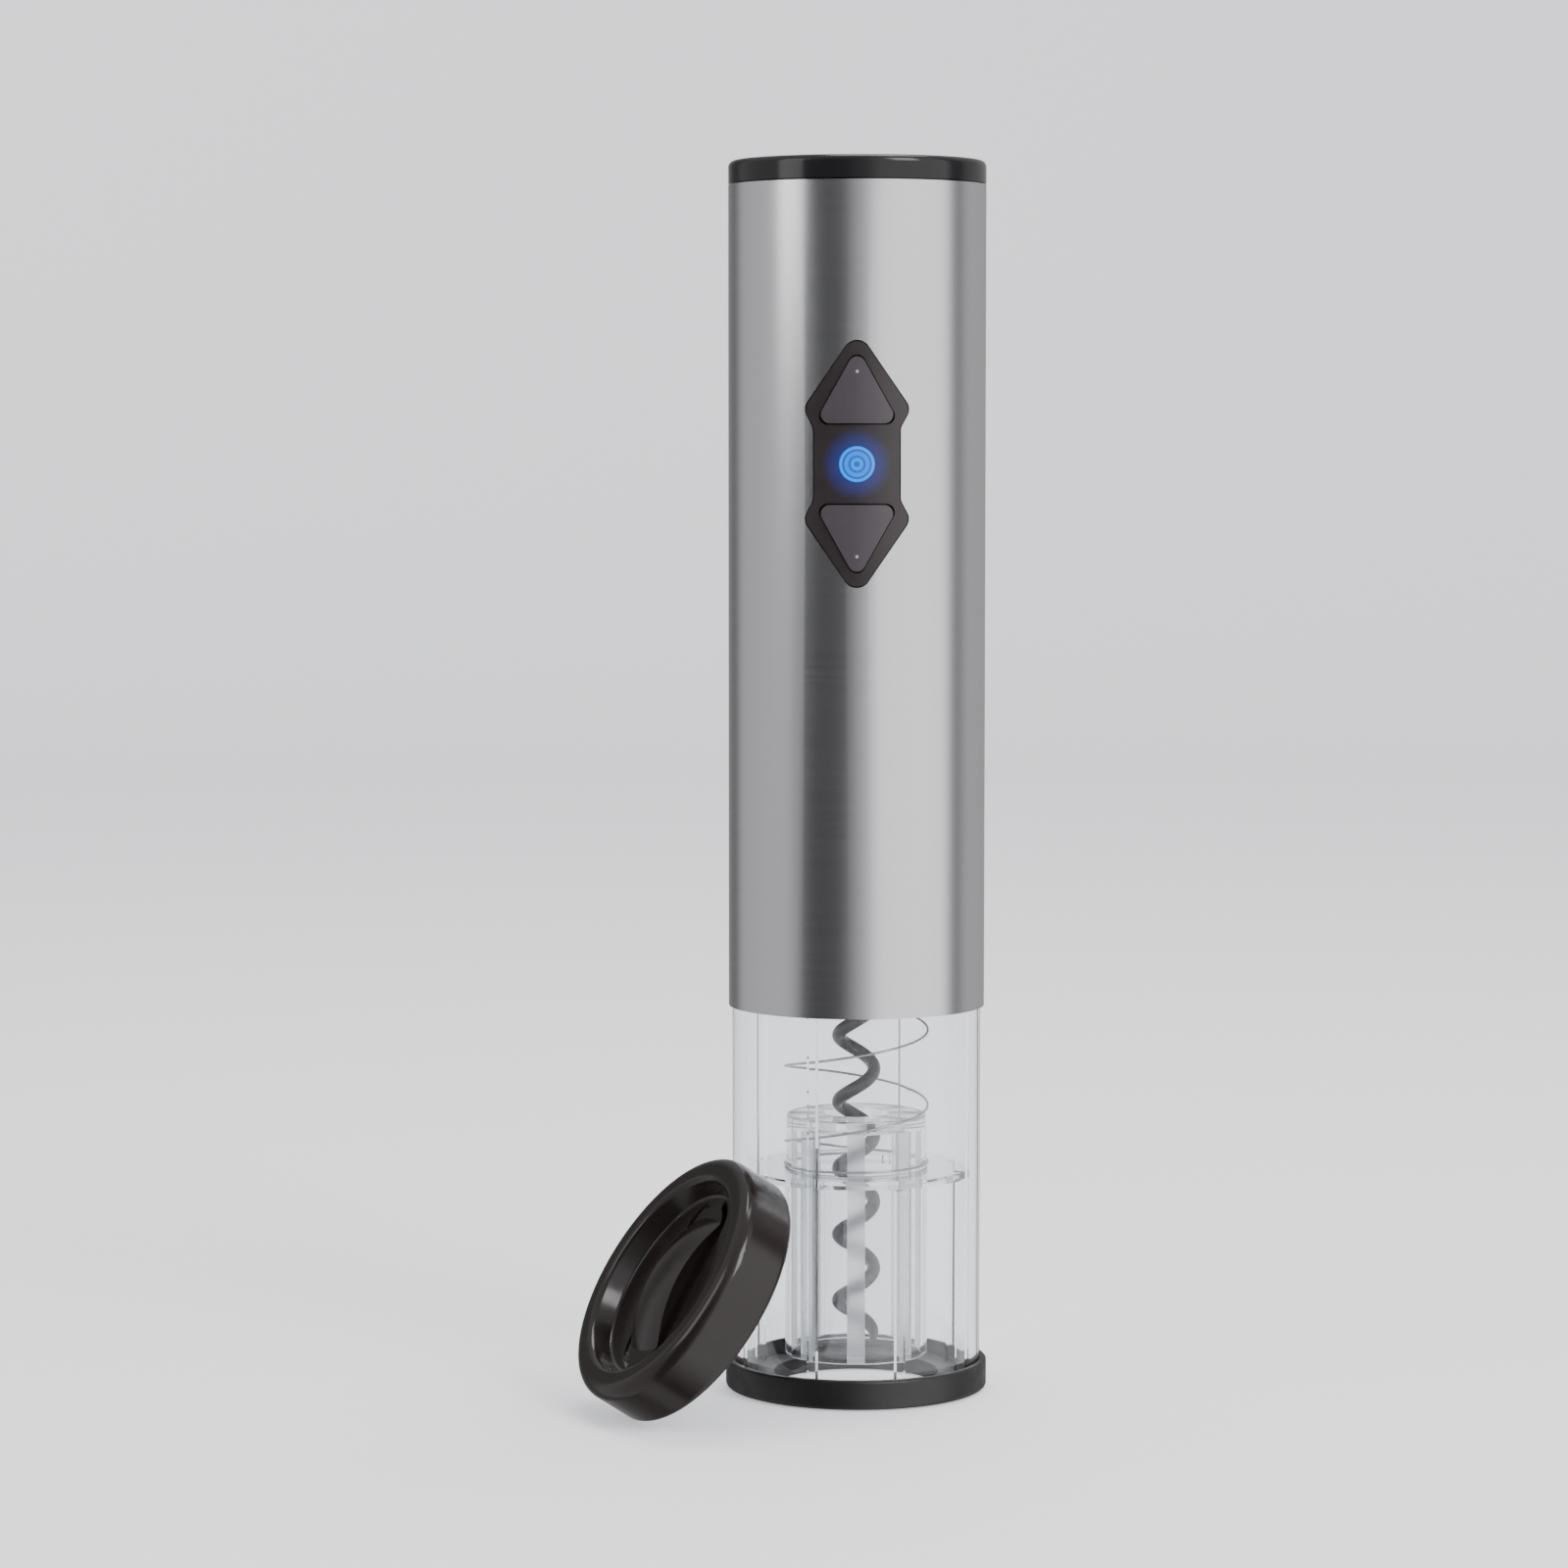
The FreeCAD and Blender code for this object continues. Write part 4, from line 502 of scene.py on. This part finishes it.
dress(["rotor_windings"], wound_copper())
dress(["pcb"], board_finish())
dress(["aa_cells"], cell_finish())

# %% [markdown]
# ## Guide spring
# The cork guide is pushed down by a long open spring. The wire starts and ends with a nearly flat turn,
# as a ground spring does.

# %% Guide spring mesh
SPRING_WIRE = 0.225 * MM
SPRING_PITCH = 14.2 * MM
SPRING_START = math.radians(89)
FLAT_TURNS = 1.0
FLAT_RISE = 3.4          # rise of an end turn, in wire radii
SMOOTHING_PASSES = 8
STEPS_PER_TURN = 72
WIRE_SIDES = 12


def spring_centre_line():
    """Points along the wire's centre, from the flange up to the chassis."""
    radius = (guide_high.x - guide_low.x) / 2 - SPRING_WIRE
    low = guide_low.z + SPRING_WIRE
    high = guide_high.z - SPRING_WIRE
    flat_rise = FLAT_RISE * SPRING_WIRE
    turns = (high - low - 2 * flat_rise) / SPRING_PITCH
    total = turns + 2 * FLAT_TURNS
    count = int(total * STEPS_PER_TURN)
    points = []
    for k in range(count + 1):
        turn = total * k / count
        angle = SPRING_START + 2 * math.pi * (turn - FLAT_TURNS)
        if turn < FLAT_TURNS:
            height = low + flat_rise * turn / FLAT_TURNS
        elif turn > total - FLAT_TURNS:
            height = high - flat_rise * (total - turn) / FLAT_TURNS
        else:
            height = low + flat_rise + SPRING_PITCH * (turn - FLAT_TURNS)
        points.append(Vector((radius * math.cos(angle), radius * math.sin(angle), height)))
    for _ in range(SMOOTHING_PASSES):
        inner = [(a + b * 2 + c) / 4 for a, b, c in zip(points, points[1:], points[2:])]
        points = [points[0]] + inner + [points[-1]]
    return points


def wire_mesh(name, line, radius):
    """A closed round wire along a line of points."""
    vertices, faces = [], []
    for k, point in enumerate(line):
        along = (line[min(k + 1, len(line) - 1)] - line[max(k - 1, 0)]).normalized()
        out = Vector((point.x, point.y, 0)).normalized()
        out = (out - along * out.dot(along)).normalized()
        up = along.cross(out)
        for side in range(WIRE_SIDES):
            turn = 2 * math.pi * side / WIRE_SIDES
            vertices.append(point + (out * math.cos(turn) + up * math.sin(turn)) * radius)
    rings = len(line)
    for k in range(rings - 1):
        for side in range(WIRE_SIDES):
            nxt = (side + 1) % WIRE_SIDES
            base, top = k * WIRE_SIDES, (k + 1) * WIRE_SIDES
            faces.append((base + side, base + nxt, top + nxt, top + side))
    faces.append(tuple(reversed(range(WIRE_SIDES))))
    faces.append(tuple(range((rings - 1) * WIRE_SIDES, rings * WIRE_SIDES)))
    mesh = bpy.data.meshes.new(name)
    mesh.from_pydata([tuple(v) for v in vertices], [], faces)
    mesh.shade_smooth()
    piece = bpy.data.objects.new(name, mesh)
    bpy.context.scene.collection.objects.link(piece)
    return piece


spring_line = spring_centre_line()
spring_wire = wire_mesh("guide_spring_wire", spring_line, SPRING_WIRE)
spring_wire.data.materials.append(spring_steel.material)
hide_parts("guide_spring")
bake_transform(spring_wire)
print("spring wire points:", len(spring_line))

# %% [markdown]
# ## Button marks
# Each button carries a tiny pale dot near its tip. It is a low dome whose flat back sinks into the
# button's face, and it rides with the button when that is pressed.

# %% Button marks
MARK_RADIUS = 0.32 * MM
MARK_INSET = 3.6 * MM
MARK_HEIGHT = 0.3        # share of the radius that the dome stands proud
MARK_SINK = 0.15 * MM
MARK_RINGS = 5
MARK_SIDES = 20

mark_finish = moulded("button_mark", (0.30, 0.29, 0.31), 0.3)


def button_mark(button, body, side):
    """A low dome on the face of a button, near its tip."""
    low, high = box_of(button)
    tip = high.z if side > 0 else low.z
    centre = Vector((0, low.y, tip - side * MARK_INSET))
    rings, sides = MARK_RINGS, MARK_SIDES
    vertices, faces = [(centre.x, centre.y - MARK_RADIUS * MARK_HEIGHT, centre.z)], []
    for ring in range(1, rings + 1):
        lift = math.cos(math.pi / 2 * ring / rings)
        reach = MARK_RADIUS * math.sin(math.pi / 2 * ring / rings)
        depth = centre.y - MARK_RADIUS * MARK_HEIGHT * lift
        if ring == rings:
            depth = centre.y + MARK_SINK
        for k in range(sides):
            turn = 2 * math.pi * k / sides
            vertices.append((centre.x + reach * math.cos(turn), depth, centre.z + reach * math.sin(turn)))
    for k in range(sides):
        faces.append((0, 1 + k, 1 + (k + 1) % sides))
    for ring in range(rings - 1):
        for k in range(sides):
            a = 1 + ring * sides + k
            b = 1 + ring * sides + (k + 1) % sides
            faces.append((a, a + sides, b + sides, b))
    last = 1 + (rings - 1) * sides
    faces.append(tuple(last + k for k in range(sides)))
    name = f"{body}_mark"
    mesh = bpy.data.meshes.new(name)
    mesh.from_pydata(vertices, [], faces)
    mesh.shade_smooth()
    mark = bpy.data.objects.new(name, mesh)
    bpy.context.scene.collection.objects.link(mark)
    mark.data.materials.append(mark_finish.material)
    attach(mark, body)
    return mark


button_mark("release_button", "release", 1)
button_mark("extract_button", "extract", -1)
print("button marks:", 2)

# %% [markdown]
# ## Studio floor and wall
# The opener stands on a pale floor that curves up into a wall all round, so that every view has a calm
# background. Floor and wall are hidden from reflections, so the steel reflects only the light around it.

# %% Floor and wall
FLOOR_RADIUS = 1.7
WALL_CURVE = 0.9
WALL_HEIGHT = 2.4
SWEEP_SIDES = 128


def turned_sheet(name, profile):
    """A surface turned about the Z axis from (radius, height) points."""
    vertices, faces = [], []
    for radius, height in profile:
        for k in range(SWEEP_SIDES):
            turn = 2 * math.pi * k / SWEEP_SIDES
            vertices.append((radius * math.cos(turn), radius * math.sin(turn), height))
    for row in range(len(profile) - 1):
        for k in range(SWEEP_SIDES):
            nxt = (k + 1) % SWEEP_SIDES
            a, b = row * SWEEP_SIDES, (row + 1) * SWEEP_SIDES
            faces.append((a + k, a + nxt, b + nxt, b + k))
    mesh = bpy.data.meshes.new(name)
    mesh.from_pydata(vertices, [], faces)
    mesh.shade_smooth()
    sheet = bpy.data.objects.new(name, mesh)
    bpy.context.scene.collection.objects.link(sheet)
    sheet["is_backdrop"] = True
    return sheet


HOLE_RADIUS = 0.0005     # the sheet starts just off the axis, so its middle has no pinched faces
INNER_RADIUS = 0.3
floor_low = -0.0002      # a hair under the opener, so that the two never share a plane
floor_radii = (HOLE_RADIUS, INNER_RADIUS, FLOOR_RADIUS)
floor = turned_sheet("studio_floor", [(radius, floor_low) for radius in floor_radii])
curve = [
    (FLOOR_RADIUS + WALL_CURVE * math.sin(a), floor_low + WALL_CURVE * (1 - math.cos(a)))
    for a in [math.pi / 2 * k / 16 for k in range(17)]
]
wall = turned_sheet("studio_wall", curve + [(FLOOR_RADIUS + WALL_CURVE, WALL_HEIGHT)])
pale = Finish("studio_paint", (0.86, 0.86, 0.88), 0.75)
pale.put(Emission_Color=(0.86, 0.87, 0.92, 1), Emission_Strength=0.62)
for sheet in (floor, wall):
    sheet.data.materials.append(pale.material)
floor.visible_glossy = False
wall.visible_glossy = False
wall.visible_diffuse = False
wall.visible_shadow = False
print("floor radius (m):", FLOOR_RADIUS)

# %% [markdown]
# ## Studio light
# A polished tube is mostly a picture of its surroundings, so the light is drawn as bands around it: a wide
# bright panel at the front right, a softer one at the left, and darker gaps between them. The bands are a
# ramp over the direction around the vertical axis. Three area lights add the shadow and the sparkle.

# %% World
BANDS = (                # degrees from the front towards +X, and brightness
    (-180, 0.42),
    (-138, 0.16),
    (-122, 0.62),
    (-62, 0.70),
    (-46, 0.07),
    (-14, 0.09),
    (4, 0.50),
    (24, 1.75),
    (84, 1.80),
    (95, 0.16),
    (103, 0.16),
    (114, 0.60),
    (180, 0.42),
)

world = bpy.data.worlds.new("studio_light")
bpy.context.scene.world = world
world.use_nodes = True
tree = world.node_tree
background = tree.nodes["Background"]
background.inputs["Strength"].default_value = 0.95
direction = tree.nodes.new("ShaderNodeTexCoord")
split = tree.nodes.new("ShaderNodeSeparateXYZ")
tree.links.new(direction.outputs["Generated"], split.inputs["Vector"])
flip = tree.nodes.new("ShaderNodeMath")
flip.operation = "MULTIPLY"
flip.inputs[1].default_value = -1
tree.links.new(split.outputs["Y"], flip.inputs[0])
azimuth = tree.nodes.new("ShaderNodeMath")
azimuth.operation = "ARCTAN2"
tree.links.new(split.outputs["X"], azimuth.inputs[0])
tree.links.new(flip.outputs[0], azimuth.inputs[1])
fraction = tree.nodes.new("ShaderNodeMapRange")
fraction.inputs["From Min"].default_value = -math.pi
fraction.inputs["From Max"].default_value = math.pi
tree.links.new(azimuth.outputs[0], fraction.inputs["Value"])
bands = tree.nodes.new("ShaderNodeValToRGB")
bands.color_ramp.interpolation = "EASE"
band_stops = bands.color_ramp.elements
band_stops[0].position, band_stops[0].color = 0.0, (*[BANDS[0][1]] * 3, 1)
band_stops[1].position, band_stops[1].color = 1.0, (*[BANDS[-1][1]] * 3, 1)
for angle, level in BANDS[1:-1]:
    band_stops.new((angle + 180) / 360).color = (level, level, level * 1.01, 1)
tree.links.new(fraction.outputs["Result"], bands.inputs["Fac"])
SKY_START = 0.35         # the bands fade into an even top light between these two heights
SKY_END = 0.95
sky = tree.nodes.new("ShaderNodeMapRange")
sky.inputs["From Min"].default_value = SKY_START
sky.inputs["From Max"].default_value = SKY_END
tree.links.new(split.outputs["Z"], sky.inputs["Value"])
MIX_A, MIX_B, MIX_RESULT = 6, 7, 2    # the colour sockets of a Mix node
blend = tree.nodes.new("ShaderNodeMix")
blend.data_type = "RGBA"
blend.inputs[MIX_B].default_value = (0.9, 0.9, 0.92, 1)
tree.links.new(sky.outputs["Result"], blend.inputs[0])
tree.links.new(bands.outputs["Color"], blend.inputs[MIX_A])
tree.links.new(blend.outputs[MIX_RESULT], background.inputs["Color"])
print("light bands:", len(BANDS))

# %% Area lights


def soft_light(name, place, target, wide, high, power):
    """A rectangular soft light that looks at a target."""
    light = bpy.data.lights.new(name, "AREA")
    light.shape = "RECTANGLE"
    light.size = wide
    light.size_y = high
    light.energy = power
    lamp = bpy.data.objects.new(name, light)
    lamp.location = place
    lamp.rotation_euler = (Vector(target) - Vector(place)).to_track_quat("-Z", "Y").to_euler()
    bpy.context.scene.collection.objects.link(lamp)
    return lamp


aim = Vector((0, 0, (tube_low.z + tube_high.z) / 2))
soft_light("key_panel", (0.75, -0.75, 0.85), aim, 0.5, 0.7, 9)
soft_light("fill_panel", (-0.9, -0.5, 0.6), aim, 0.5, 0.8, 3)
soft_light("top_panel", (0.1, 0.25, 1.1), aim, 0.5, 0.5, 5)
print("area lights:", 3)

# %% [markdown]
# ## Camera
# The camera looks from straight ahead, from a little under a metre away and about level with the buttons,
# so the steel tube hardly tapers and the base ring shows as a shallow curve.

# %% Camera
EYE = Vector((0.0, -0.88, 0.18))
LENS_MM = 108

camera_data = bpy.data.cameras.new("camera")
camera_data.lens = LENS_MM
camera_data.sensor_width = 36
camera = bpy.data.objects.new("camera", camera_data)
bpy.context.scene.collection.objects.link(camera)
shown_low, shown_high = (Vector(corner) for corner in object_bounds())
look_at = (shown_low + shown_high) / 2
camera.location = EYE
camera.rotation_euler = (look_at - EYE).to_track_quat("-Z", "Y").to_euler()
bpy.context.scene.camera = camera
print("camera looks at (mm):", [round(v / MM) for v in look_at])
